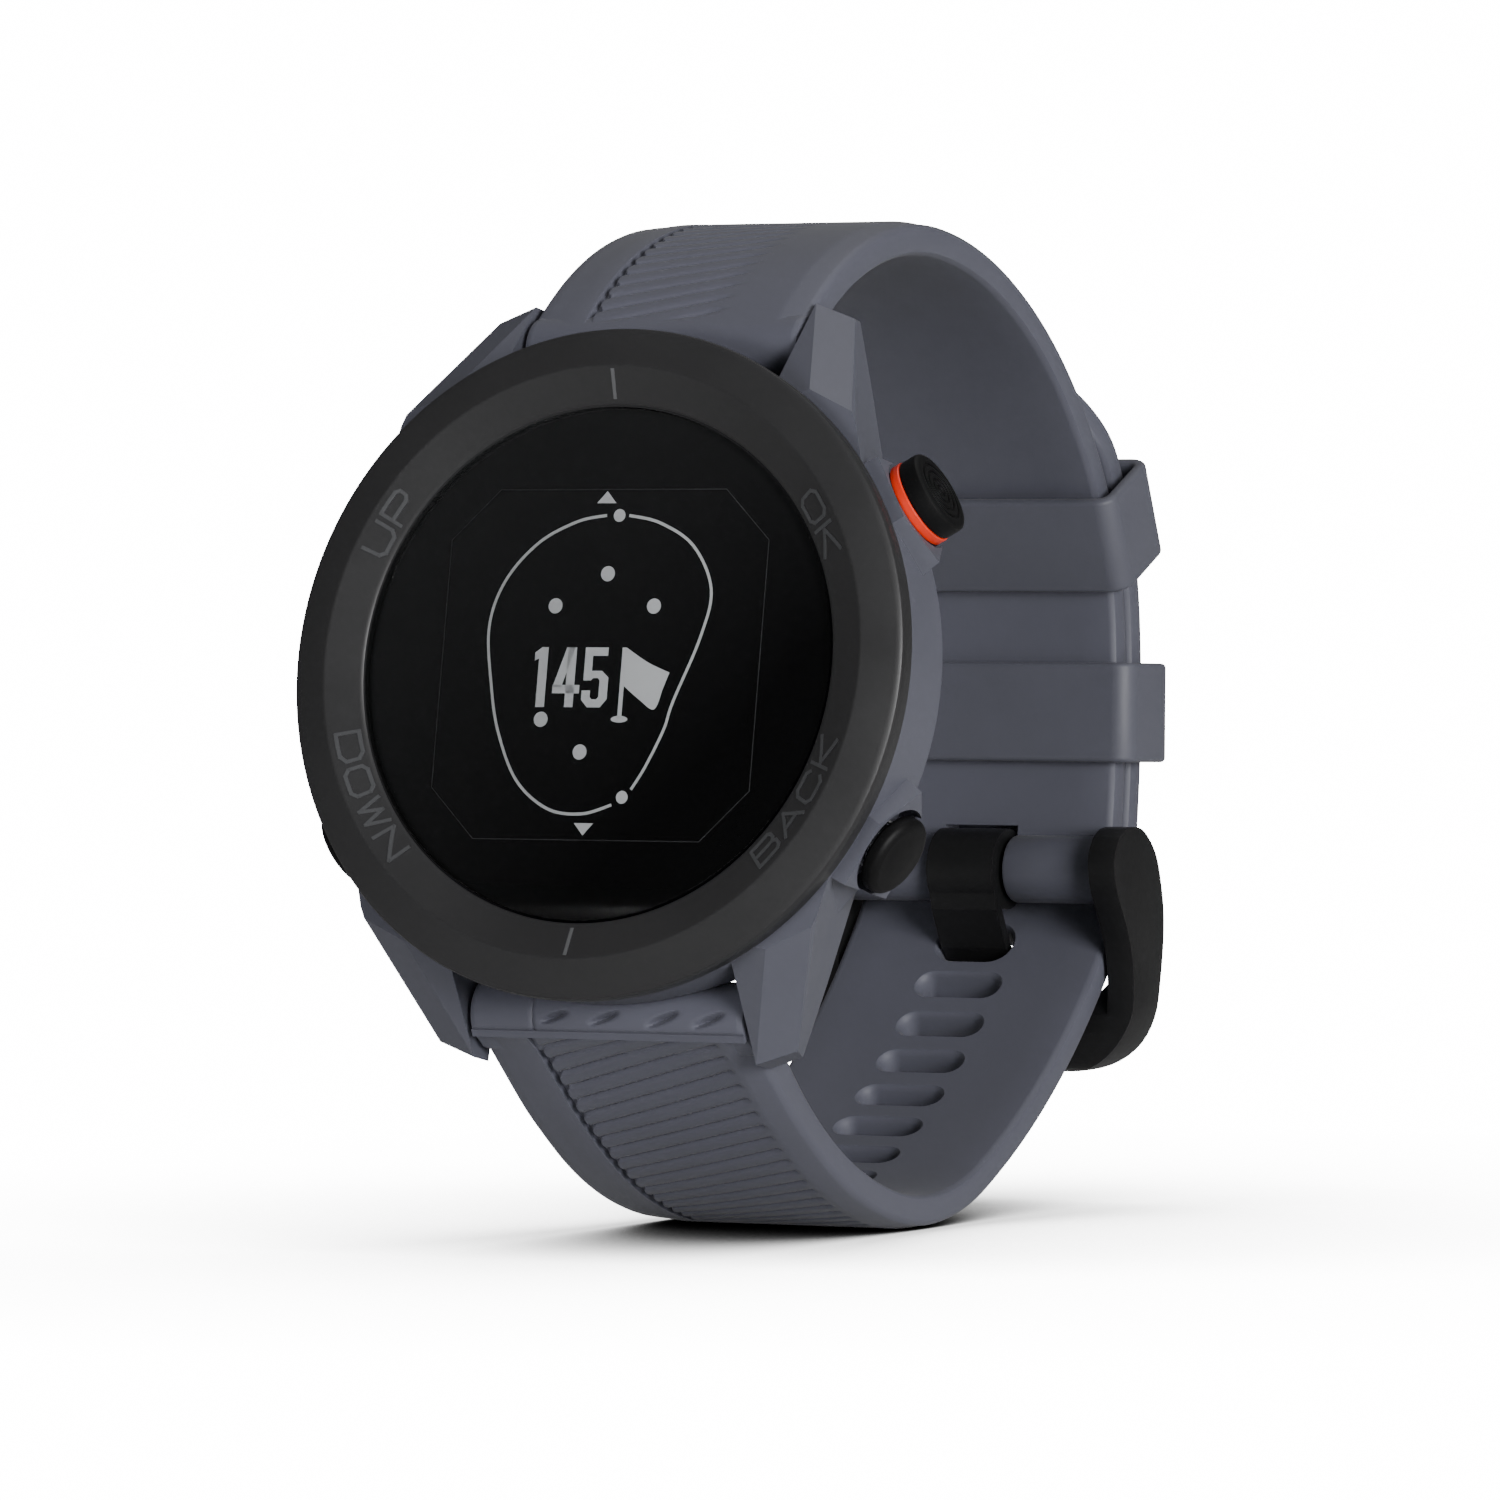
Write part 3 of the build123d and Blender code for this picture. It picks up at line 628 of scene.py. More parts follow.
def notch_dent(x, side):
    """Depth of the slanted notches and the fine seam; side is in degrees from where they face."""
    dent = 0.0
    for middle, half_angle in NOTCHES:
        leaf = 1 - (side / half_angle) ** 2
        if leaf > 0:
            away = (x - middle + NOTCH_LEAN * side) / (NOTCH_WAIST + NOTCH_SPREAD * leaf)
            dent += NOTCH_DEPTH * leaf * math.exp(-away ** 2)
    seam = SEAM_DEPTH * math.exp(-((x - SEAM_X) / SEAM_WIDTH) ** 2)
    return dent + seam * smooth_step(45 - abs(side), 0, 8)


def roll_stations():
    """(x, largest radius) along a rolled end, with both rims rounded."""
    stations = [(-HALF_WIDTH, ROLL - ROLL_EDGE), (-HALF_WIDTH + ROLL_BREAK, ROLL - ROLL_BREAK)]
    span = 2 * HALF_WIDTH - 2 * ROLL_EDGE
    for k in range(ROLL_STATIONS + 1):
        stations.append((-HALF_WIDTH + ROLL_EDGE + span * k / ROLL_STATIONS, ROLL))
    return stations + [(HALF_WIDTH - ROLL_BREAK, ROLL - ROLL_BREAK), (HALF_WIDTH, ROLL - ROLL_EDGE)]


def strap_roll(name, bar, notched=False):
    """Rolled strap end round a spring bar; the notched one also has a flat underneath."""
    rings = []
    for x, station_radius in roll_stations():
        ring = []
        for k in range(144):
            a = 2 * math.pi * k / 144
            radius = ROLL
            dent = 0.0
            if notched:
                side = math.degrees(math.atan2(math.sin(a - NOTCHES_FACE), math.cos(a - NOTCHES_FACE)))
                dent = notch_dent(x, side)
                across = math.cos(a - FLAT_FACES)
                radius = min(radius, FLAT_RADIUS / across) if across > 0.5 else radius
            r = min(radius, station_radius) - dent
            ring.append(drawn(x, bar[0] + r * math.cos(a), bar[1] + r * math.sin(a)))
        rings.append(ring)
    return mesh_object(name, *skin(rings))


def plain_roll(name, centre, x0, x1):
    """Plain round barrel along x with rounded rims."""
    rings = []
    for x, r in ((x0, ROLL - BARREL_EDGE), (x0 + BARREL_BREAK, ROLL - BARREL_BREAK), (x0 + BARREL_EDGE, ROLL),
                 (x1 - BARREL_EDGE, ROLL), (x1 - BARREL_BREAK, ROLL - BARREL_BREAK), (x1, ROLL - BARREL_EDGE)):
        ring = []
        for k in range(96):
            a = math.radians(3.75 * k)
            ring.append(drawn(x, centre[0] + r * math.cos(a), centre[1] + r * math.sin(a)))
        rings.append(ring)
    return mesh_object(name, *skin(rings))


def block(name, x0, x1, y0, y1, z0, z1):
    points = [drawn(x, y, z) for x in (x0, x1) for y in (y0, y1) for z in (z0, z1)]
    faces = [(0, 1, 3, 2), (4, 6, 7, 5), (0, 4, 5, 1), (2, 3, 7, 6), (0, 2, 6, 4), (1, 5, 7, 3)]
    return mesh_object(name, points, faces)


HUB_GAP = 2.8
SLOTS_TOWARD_CASE = 8
TAIL_SLOTS = range(2, 6)
TIP_STATIONS = 25


def make_upper_strap():
    zone = UPPER_RIBS
    rings = []
    for s in spaced(path_length(upper_path), zone):
        point, angle = path_point(upper_path, s)
        rings.append(section_ring(point, angle, 1, s, zone))
    band = mesh_object("upper_strap_band", *skin(rings))
    y, z = BARREL
    band = cut(band, block("notch", -HUB_GAP, HUB_GAP, y - 6, y + 6, z - 4, z + 3.0))
    parts = [band, strap_roll("upper_roll", UPPER_BAR)]
    parts.append(plain_roll("barrel_left", BARREL, -HALF_WIDTH, -HUB_GAP))
    parts.append(plain_roll("barrel_right", BARREL, HUB_GAP, HALF_WIDTH))
    fit(joined("upper_strap_rubber", parts), "upper_strap_body", "strap_silicone", "upper_strap")


def slot_cutters():
    places = [path_point(lower_path, ENGAGED_SLOT + SLOT_PITCH * k) for k in range(SLOTS_TOWARD_CASE)]
    places += [path_point(tail_path, SLOT_PITCH * k - ENGAGED_SLOT) for k in TAIL_SLOTS]
    cutters = []
    for k, (point, angle) in enumerate(places):
        waist, narrower = ODD_SLOTS.get(k, PLAIN_SLOT)
        cutters.append(slot_cutter(point, angle, waist, narrower))
    return joined("slot_cutters", cutters)


def lower_lead_in(point, angle):
    """Wedge that blends the lower strap into its roll."""
    y, z = LOWER_BAR
    side = [(y, z), (y - 2.1, z - 1.0), step(point, angle, THICK / 2 + heel(0)), step(point, angle, -THICK / 2)]
    return mesh_object("lower_lead_in", *skin([[drawn(x, py, pz) for py, pz in side] for x in (-9.85, 9.85)]))


def make_lower_strap():
    back = path_length(lower_path)
    tail = path_length(tail_path)
    zone = LOWER_RIBS
    rings = []
    for s in spaced(back + tail - TIP_RADIUS, zone):
        point, angle = path_point(lower_path, back - s) if s < back else path_point(tail_path, s - back)
        rings.append(section_ring(point, angle, 1, s, zone, heel(s)))
    for k in range(1, TIP_STATIONS):
        a = math.pi / 2 * k / (TIP_STATIONS - 0.7)
        point, angle = path_point(tail_path, tail - TIP_RADIUS + TIP_RADIUS * math.sin(a))
        rings.append(section_ring(point, angle, math.cos(a), back + tail, None))
    band = cut(mesh_object("lower_strap_band", *skin(rings)), slot_cutters())
    parts = [band, lower_lead_in(*path_point(lower_path, back)), strap_roll("lower_roll", LOWER_BAR, notched=True)]
    fit(joined("lower_strap_rubber", parts), "lower_strap_body", "strap_silicone", "lower_strap")


# ================= keepers =================

KEEPER_HALF = 3.45
KEEPER_WALL = 0.9
KEEPER_PLAY = 0.29
KEEPER_HALF_WIDTH = 11.5
KEEPER_BREAK = 0.32
KEEPER_CORNER = 0.55
LOWER_KEEPER_HEIGHT = -4.1
UPPER_KEEPER_ANGLE, UPPER_KEEPER_ROOM, UPPER_KEEPER_TILT = 22.2, 0.28, 2.5


def keeper_section():
    """Rounded wall section: along the strap, then out from the inner face."""
    c = KEEPER_BREAK
    points = []
    for along, out, start in ((KEEPER_HALF - c, KEEPER_WALL - c, 0), (-KEEPER_HALF + c, KEEPER_WALL - c, 90),
                              (-KEEPER_HALF + c, c, 180), (KEEPER_HALF - c, c, 270)):
        for k in range(5):
            a = math.radians(start + 22.5 * k)
            points.append((along + c * math.cos(a), out + c * math.sin(a)))
    return points


def make_keeper(name, arc, middle, allowance, tilt):
    """Closed loop round both strap layers at an angle of one arc of the upper strap."""
    centre, radius = upper_path[arc][:2]
    inner = radius - THICK / 2 - KEEPER_PLAY - allowance
    outer = radius + THICK * 1.5 + LAYER_GAP + KEEPER_PLAY
    mean = (inner + outer) / 2
    half_r, half_u, corner = (outer - inner) / 2, KEEPER_HALF_WIDTH - KEEPER_WALL, KEEPER_CORNER
    loop = []
    for cu, cr, start in ((half_u - corner, half_r - corner, 0), (corner - half_u, half_r - corner, 90),
                          (corner - half_u, corner - half_r, 180), (half_u - corner, corner - half_r, 270)):
        for k in range(9):
            a = math.radians(start + 11.25 * k)
            loop.append((cu, cr, math.cos(a), math.sin(a)))
    section = keeper_section()
    rings = []
    for cu, cr, nu, nr in loop:
        ring = []
        for along, out in section:
            u = cu + (corner + out) * nu
            away = step(step(centre, middle, mean), middle + tilt, cr + (corner + out) * nr)
            y, z = step(away, middle + tilt + 90, along)
            ring.append(drawn(u, y, z))
        rings.append(ring)
    return mesh_object(name + "_rubber", *skin(rings, closed_way=True))


def make_keepers():
    centre, radius = upper_path[3][:2]
    middle = math.degrees(math.asin((LOWER_KEEPER_HEIGHT - centre[1]) / (radius + PITCH / 2)))
    fit(make_keeper("lower_keeper", 3, middle, 0, 0), "lower_keeper_body", "keeper_silicone", "lower_keeper")
    upper = make_keeper("upper_keeper", 2, UPPER_KEEPER_ANGLE, UPPER_KEEPER_ROOM, UPPER_KEEPER_TILT)
    fit(upper, "upper_keeper_body", "keeper_silicone", "upper_keeper")


# ================= buckle frame =================

# Side view of the frame, (y, z).
FRAME_SIDE = [(54.9, -12.6), (54.1, -14.0), (54.5, -16.2), (56.3, -19.0), (57.3, -21.6), (57.3, -24.6),
              (56.8, -26.6), (56.9, -28.3), (58.0, -28.95), (60.0, -28.9), (61.0, -27.6), (61.4, -25.0),
              (62.3, -21.0), (62.5, -18.2), (62.0, -15.8), (61.0, -13.7), (58.8, -12.1), (56.3, -12.0)]

# Half width, bottom and corner radius of the outline and of the opening.
FRAME_OUTSIDE, FRAME_OPENING = (12.3, -28.95, 5.0), (10.3, -26.2, 6.5)
FRAME_CLEARANCE = 0.65


def frame_u():
    """Outline of the U seen from behind, as (x, z) points: outside down and round, then the opening."""
    points = []
    for half, bottom, corner in (FRAME_OUTSIDE, FRAME_OPENING):
        side = [(half, 0)]
        for k in range(13):
            a = math.radians(7.5 * k)
            side.append((half - corner + corner * math.cos(a), bottom + corner - corner * math.sin(a)))
        loop = side + [(-x, z) for x, z in reversed(side)]
        points += loop if not points else loop[::-1]
    return points


def make_buckle_frame():
    outline = curve_through(FRAME_SIDE + FRAME_SIDE[:1], 5)[:-1]
    body = mesh_object("frame_prism", *skin([[drawn(x, y, z) for y, z in outline] for x in (-13, 13)]))
    cutter = mesh_object("frame_u", *skin([[drawn(x, y, z) for x, z in frame_u()] for y in (45, 75)]))
    body = cut(body, cutter, operation="INTERSECT")
    away = THICK / 2 + FRAME_CLEARANCE
    gap = [(45, -34)] + [step(*path_point(lower_path, along), away) for along in (14, 11, 8, 5, 3, 1)] + [(45, -14)]
    half = FRAME_OPENING[0]
    space = mesh_object("strap_space", *skin([[drawn(x, y, z) for y, z in gap] for x in (-half, half)]))
    body = cut(body, space)
    body.name = "frame_moulding"
    body = bevelled(body, 0.5, 3, 35)
    fit(body, "frame_body", "buckle_black", "buckle_frame")


# ================= case front =================

BUTTONS = {"ok": 30, "back": -30, "up": 150, "down": 210}
BUTTON_DEPTH = 5.5


def make_bezel():
    profile = [(16.85, 0.2), (16.95, 0.11), (17.1, 0.05), (19.12, -0.79), (19.2, -0.815), (19.27, -0.82),
               (19.36, -0.805), (21.35, -0.09), (21.6, 0.0), (21.75, 0.12), (21.84, 0.35), (21.82, 0.7),
               (21.72, 1.62), (21.6, 1.7), (16.95, 1.7), (16.85, 1.6)]
    return lathe("bezel_ring", profile, dial, segments=360, sharp=28)


SLOPE_INNER, SLOPE_OUTER = (17.1, 0.05), (19.12, -0.79)
STROKE_WIDTH = 0.24


def slope(angle, radius, lift):
    """Point on the bezel's inner slope, angle clockwise from 12 o'clock."""
    (r0, depth0), (r1, depth1) = SLOPE_INNER, SLOPE_OUTER
    depth = depth0 - (depth0 - depth1) * (radius - r0) / (r1 - r0)
    a = math.radians(angle)
    return dial(radius * math.sin(a), depth - lift, radius * math.cos(a))


def slope_stroke(points, width, lift):
    """Flat raised line over the bezel slope through (angle, radius) points."""
    parts = []
    for (a0, r0), (a1, r1) in zip(points, points[1:]):
        mean = math.radians((r0 + r1) / 2)
        da, dr = (a1 - a0) * mean, r1 - r0
        length = math.hypot(da, dr)
        if length < 1e-6:
            continue
        ua, ur = da / length, dr / length
        na, nr = -ur / mean * width / 2, ua * width / 2
        ea, er = ua / mean * width * 0.35, ur * width * 0.35
        cuts = max(1, int(length / 0.35))
        rings = []
        for k in range(cuts + 1):
            t = k / cuts
            a = a0 - ea + (a1 - a0 + 2 * ea) * t
            r = r0 - er + (r1 - r0 + 2 * er) * t
            rings.append([slope(a + na, r + nr, lift), slope(a - na, r - nr, lift),
                          slope(a - na, r - nr, -0.05), slope(a + na, r + nr, -0.05)])
        parts.append(mesh_object("stroke", *skin(rings)))
    return parts


# Strokes of each letter in a box of width and height 1.
LETTERS = {
    "U": [[(0, 1), (0, .22), (.18, 0), (.82, 0), (1, .22), (1, 1)]],
    "P": [[(0, 0), (0, 1), (.85, 1), (1, .86), (1, .56), (.85, .42), (0, .42)]],
    "D": [[(0, 0), (0, 1), (.78, 1), (1, .78), (1, .22), (.78, 0), (0, 0)]],
    "O": [[(.18, 0), (0, .2), (0, .8), (.18, 1), (.82, 1), (1, .8), (1, .2), (.82, 0), (.18, 0)]],
    "W": [[(0, 1), (.25, 0), (.5, .95), (.75, 0), (1, 1)]],
    "N": [[(0, 0), (0, 1), (1, 0), (1, 1)]],
    "K": [[(0, 0), (0, 1)], [(1, 1), (.12, .5), (1, 0)]],
    "B": [[(0, 0), (0, 1), (.85, 1), (.97, .88), (.97, .65), (.85, .53), (0, .53)],
          [(.85, .53), (1, .4), (1, .13), (.87, 0), (0, 0)]],
    "A": [[(0, 0), (.5, 1), (1, 0)], [(.17, .34), (.83, .34)]],
    "C": [[(1, .82), (.84, 1), (.18, 1), (0, .8), (0, .2), (.18, 0), (.84, 0), (1, .18)]],
}


def make_legend(word, middle, outward):
    """Word round the bezel slope; outward is 1 where the letter tops point out."""
    width, gap, height, base = 1.88, 0.55, 1.42, 18.0
    total = len(word) * width + (len(word) - 1) * gap
    strokes = []
    for k, letter in enumerate(word):
        left = k * (width + gap) - total / 2
        for line in LETTERS[letter]:
            points = []
            for x, y in line:
                angle = middle + outward * math.degrees((left + x * width) / base)
                points.append((angle, base + outward * (y - 0.5) * height))
            strokes += slope_stroke(points, STROKE_WIDTH, 0.05)
    return joined("legend_" + word.lower(), strokes)


def make_case_front():
    fit(make_bezel(), "case", "bezel_black", "bezel")
    glass = [(0, 0.15), (16.6, 0.15), (16.68, 0.18), (16.69, 0.22), (16.69, 0.74), (16.68, 0.75), (0, 0.75)]
    fit(lathe("cover_glass", glass, dial, segments=256), "case", "lens_glass", "lens")
    for word, middle, outward in (("UP", -60, 1), ("OK", 60, 1), ("DOWN", -120, -1), ("BACK", 120, -1)):
        fit(make_legend(word, middle, outward), "case", "bezel_black", material=LEGEND)
    for name, angle in (("tick_top", 0), ("tick_bottom", 180)):
        line = slope_stroke([(angle, 17.25), (angle, 18.95)], STROKE_WIDTH, 0.035)
        fit(joined(name, line), "case", "bezel_black", material=TICK)


# ================= display figures =================

FIGURE_DEPTH = 0.768
FIGURE_LIFT = 0.01
PANEL_HALF_WIDTH, PANEL_HALF_HEIGHT, PANEL_CHAMFER = 11.44, 11.4, 3.3


def flat_shape(name, points):
    """Thin raised shape on the display from an (x, z) outline."""
    rings = [[dial(x, FIGURE_DEPTH - lift, z) for x, z in points] for lift in (0, FIGURE_LIFT)]
    return mesh_object(name, *skin(rings))


def round_dot(x, z, rx, rz=None):
    return flat_shape("dot", [(x + rx * math.cos(a), z + (rz or rx) * math.sin(a))
                              for a in [math.pi * k / 16 for k in range(32)]])


def curve_through(points, per=10):
    """Smooth line through a few points."""
    out = []
    for i in range(len(points) - 1):
        p0, p1, p2, p3 = points[max(i - 1, 0)], points[i], points[i + 1], points[min(i + 2, len(points) - 1)]
        for k in range(per):
            t = k / per
            out.append(tuple(0.5 * (2 * b + (c - a) * t + (2 * a - 5 * b + 4 * c - d) * t * t
                                    + (3 * b - a - 3 * c + d) * t ** 3) for a, b, c, d in zip(p0, p1, p2, p3)))
    return out + [points[-1]]


def ribbon(name, line, width):
    """Thin raised line of even width on the display."""
    rings = []
    for i, (x, z) in enumerate(line):
        ax, az = line[max(i - 1, 0)]
        bx, bz = line[min(i + 1, len(line) - 1)]
        length = math.hypot(bx - ax, bz - az)
        nx, nz = -(bz - az) / length * width / 2, (bx - ax) / length * width / 2
        rings.append([dial(x + nx, FIGURE_DEPTH, z + nz), dial(x - nx, FIGURE_DEPTH, z - nz),
                      dial(x - nx, FIGURE_DEPTH - FIGURE_LIFT, z - nz),
                      dial(x + nx, FIGURE_DEPTH - FIGURE_LIFT, z + nz)])
    return mesh_object(name, *skin(rings))


# Outlines of the figures 1, 4 (in three bars) and 5.
DIGITS = [
    [(-4.68, 0.75), (-4.2, 1.1), (-3.74, 1.1), (-3.74, -2.8), (-4.38, -2.8), (-4.38, 0.35), (-4.68, 0.22)],
    [(-2.4, 1.1), (-1.78, 1.1), (-2.62, -1.5), (-3.25, -1.5)],
    [(-3.25, -1.35), (-1.3, -1.35), (-1.3, -1.9), (-3.25, -1.9)],
    [(-2.3, 1.1), (-1.68, 1.1), (-1.68, -2.8), (-2.3, -2.8)],
    [(-1.05, 1.1), (0.6, 1.1), (0.6, 0.55), (-0.48, 0.55), (-0.48, -0.42), (0.25, -0.42), (0.74, -0.85),
     (0.74, -2.25), (0.28, -2.8), (-0.65, -2.8), (-1.11, -2.3), (-1.11, -1.7), (-0.5, -1.7), (-0.5, -2.12),
     (-0.36, -2.27), (-0.02, -2.27), (0.12, -2.1), (0.12, -1.05), (0.0, -0.9), (-0.36, -0.9), (-0.5, -1.05),
     (-1.05, -1.05)],
]


def make_black_print():
    """Black backing of the cover glass, with the painted reflection of its print finish, and a faint outline of the
    display under it.
    """
    cup = [(0, 0.77), (16.69, 0.77), (16.7, 0.76), (16.7, 0.22), (16.84, 0.2), (16.84, 0.79), (0, 0.79)]
    fit(lathe("black_print", cup, dial, segments=256), "case", "display_black", material=PRINT_WITH_PAINTED_REFLECTION)
    gasket = [(15.8, 0.82), (16.84, 0.82), (16.84, 1.75), (15.8, 1.75)]
    fit(lathe("gasket_ring", gasket, dial), "case", "seal_black", "lens_gasket")
    w, h, c = PANEL_HALF_WIDTH, PANEL_HALF_HEIGHT, PANEL_CHAMFER
    corners = [(-w, h - c), (c - w, h), (w - c, h), (w, h - c), (w, c - h), (w - c, -h), (c - w, -h), (-w, c - h),
               (-w, h - c)]
    lines = []
    for (x0, z0), (x1, z1) in zip(corners, corners[1:]):
        lines.append(ribbon("edge", [(x0, z0), ((x0 + x1) / 2, (z0 + z1) / 2), (x1, z1)], 0.07))
    fit(joined("display_edge", lines), "case", "display_black", material=FAINT)


def make_display():
    left = [(-0.3, 9.7), (-2.4, 9.3), (-5.1, 7.9), (-7.3, 5.4), (-8.2, 2.4), (-7.7, -1.4), (-6.9, -4.5), (-5.3, -7.6),
            (-2.9, -9.4), (-0.4, -9.7), (1.7, -9.1)]
    right = [(1.3, 9.7), (3.6, 9.2), (6.1, 7.7), (7.6, 4.9), (7.1, 1.8), (5.5, -2.4), (5.0, -4.2), (3.9, -6.6),
             (3.0, -8.1)]
    lines = [ribbon("green_left", curve_through(left), 0.2), ribbon("green_right", curve_through(right), 0.2)]
    fit(joined("green_outline", lines), "case", "display_black", material=OUTLINE)
    shapes = [round_dot(x, z, 0.5) for x, z in ((0.1, 5.9), (-3.5, 3.8), (3.6, 3.8), (-3.9, -3.6), (-0.9, -5.7))]
    shapes += [round_dot(0.6, 9.7, 0.42), round_dot(2.4, -8.6, 0.42)]
    shapes.append(flat_shape("up_mark", [(-1.1, 10.5), (0.3, 10.5), (-0.4, 11.3)]))
    shapes.append(flat_shape("down_mark", [(-0.9, -10.3), (0.5, -10.3), (-0.2, -11.1)]))
    shapes.append(flat_shape("pole", [(1.6, 1.1), (1.9, 1.1), (1.9, -3.5), (1.6, -3.5)]))
    shapes.append(round_dot(1.75, -3.55, 0.6, 0.22))
    shapes.append(flat_shape("flag", curve_through([(1.9, 1.1), (3.5, 0.15), (5.1, -0.5)], 6)
                             + curve_through([(4.7, -1.6), (4.2, -2.9), (3.1, -2.3), (1.9, -1.4)], 6)))
    shapes += [flat_shape("digit", points) for points in DIGITS]
    fit(joined("map_figures", shapes), "case", "display_black", material=FIGURES)


# ================= buttons =================

def button_place(name):
    a = math.radians(BUTTONS[name])

    def place(x, along, z):
        return dial(along * math.cos(a) - z * math.sin(a), BUTTON_DEPTH + x, along * math.sin(a) + z * math.cos(a))
    return place


STEM = [(0, 17.3), (0.8, 17.3), (0.9, 17.4), (0.9, 22.2)]
OK_FACE = 24.3
OK_GROOVES = (1.95, 1.4, 0.85, 0.35)
ACCENT_BAND = [(2.42, 22.25), (2.8, 22.25), (2.86, 22.31), (2.86, 22.84), (2.8, 22.9), (2.42, 22.9)]
SPRING_KEPT, BAR_SPRING_KEPT = 0.58, 0.84


def ok_profile():
    """Flat cap with ring grooves in its face and room for the accent band below."""
    face = OK_FACE
    points = STEM + [(2.35, 22.2), (2.4, 22.25), (2.4, 22.92), (2.68, 22.92), (2.78, 23.0), (2.8, 23.12),
                     (2.8, 23.95), (2.76, 24.12), (2.62, 24.25), (2.45, face)]
    for r in OK_GROOVES:
        points += [(r + 0.16, face), (r + 0.12, face - 0.02), (r + 0.09, face - 0.12), (r - 0.09, face - 0.12),
                   (r - 0.12, face - 0.02), (r - 0.16, face)]
    return points + [(0, face)]


def dome_profile():
    """Low domed cap with a wide rounded rim."""
    points = STEM + [(2.5, 22.2), (2.62, 22.28), (2.7, 22.4), (2.7, 22.7)]
    for k in range(1, 12):
        a = math.radians(7.5 * k)
        points.append((2.0 + 0.7 * math.cos(a), 22.85 + 0.5 * math.sin(a)))
    return points + [(2.0, 23.35), (1.4, 23.44), (0.7, 23.49), (0, 23.5)]


def coil(name, radius, wire, start, end, turns, place):
    """Helical spring; place(x, along, z) puts it in the row frame."""
    rings = []
    steps = int(turns * 20)
    lift = (end - start - 2 * wire) / steps
    for k in range(steps + 1):
        a = 2 * math.pi * k / 20
        ring = []
        for n in range(8):
            b = 2 * math.pi * n / 8
            r = radius + wire * math.cos(b)
            ring.append(place(r * math.cos(a), start + wire + lift * k + wire * math.sin(b), r * math.sin(a)))
        rings.append(ring)
    return mesh_object(name, *skin(rings))


def make_buttons():
    for name in BUTTONS:
        place = button_place(name)
        profile = ok_profile() if name == "ok" else dome_profile()
        cap = lathe(name + "_cap", profile, place, segments=96)
        fit(cap, name + "_button_body", "button_black", name + "_button")
        spring = fit(coil(name + "_coil", 1.6, 0.16, 20.42, 22.18, 3, place), "case", "steel", name + "_spring")
        axis = place(0, 1, 0) - place(0, 0, 0)
        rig.squash(spring, name + "_press", axis=axis, anchor=place(0, 20.4, 0), keep=SPRING_KEPT)
    band = lathe("accent_band", ACCENT_BAND, button_place("ok"), segments=96)
    fit(band, "ok_button_body", "accent_red", "ok_accent_ring")


def make_bar_springs():
    for name, bar in (("upper", UPPER_BAR), ("lower", LOWER_BAR)):
        def place(x, along, z, bar=bar):
            return drawn(along, bar[0] + x, bar[1] + z)
        wire = coil(name + "_bar_coil", 0.39, 0.1, -6, 2, 13, place)
        spring = fit(wire, name + "_strap_body", "steel", name + "_bar_spring")
        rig.squash(spring, name + "_release_slide", axis=(1, 0, 0), anchor=place(0, -6, 0), keep=BAR_SPRING_KEPT)


# ================= CAD nodes that are shown as they are =================

def soften(node, width):
    """Edges of a CAD node rounded for the look, by a modifier only."""
    obj = frame["nodes"][node]
    bevel = obj.modifiers.new("edge", "BEVEL")
    bevel.width = width * MM
    bevel.segments = 2
    bevel.limit_method = "ANGLE"
    bevel.angle_limit = math.radians(28)
    bevel.harden_normals = True


def dress_nodes():
    for part in frame["record"]["subparts"]:
        obj = frame["nodes"][part["node"]]
        obj.data.materials.clear()
        obj.data.materials.append(FINISH[part["material_slot"]])
    soften("case_middle", 0.12)
    soften("buckle_tongue", 0.14)
    soften("rear_cover", 0.1)


# ================= studio =================

WHITE = 16.0
# Painted shadow on the floor: the camera sees the floor's glow dimmed by ambient occlusion near the object, not shadow
# from the lamps.
FLOOR_REACH = 6
PAINTED_SHADOW_FALLOFF = 3.2
PAINTED_SHADOW_DISTANCE = 0.08
SIDE_LIGHT, OVERHEAD_LIGHT = 0.11, 0.15
CENTRE = (0, 0, 0.03)


def area_light(name, place, target, size, power, mirrored=True):
    """Soft rectangular light; one that isn't mirrored leaves no highlight."""
    lamp = bpy.data.lights.new(name, "AREA")
    lamp.shape = "RECTANGLE"
    lamp.size, lamp.size_y = size
    lamp.energy = power
    obj = bpy.data.objects.new(name, lamp)
    obj.location = place
    obj.rotation_euler = (Vector(target) - Vector(place)).to_track_quat("-Z", "Y").to_euler()
    obj.visible_glossy = mirrored
    bpy.context.scene.collection.objects.link(obj)


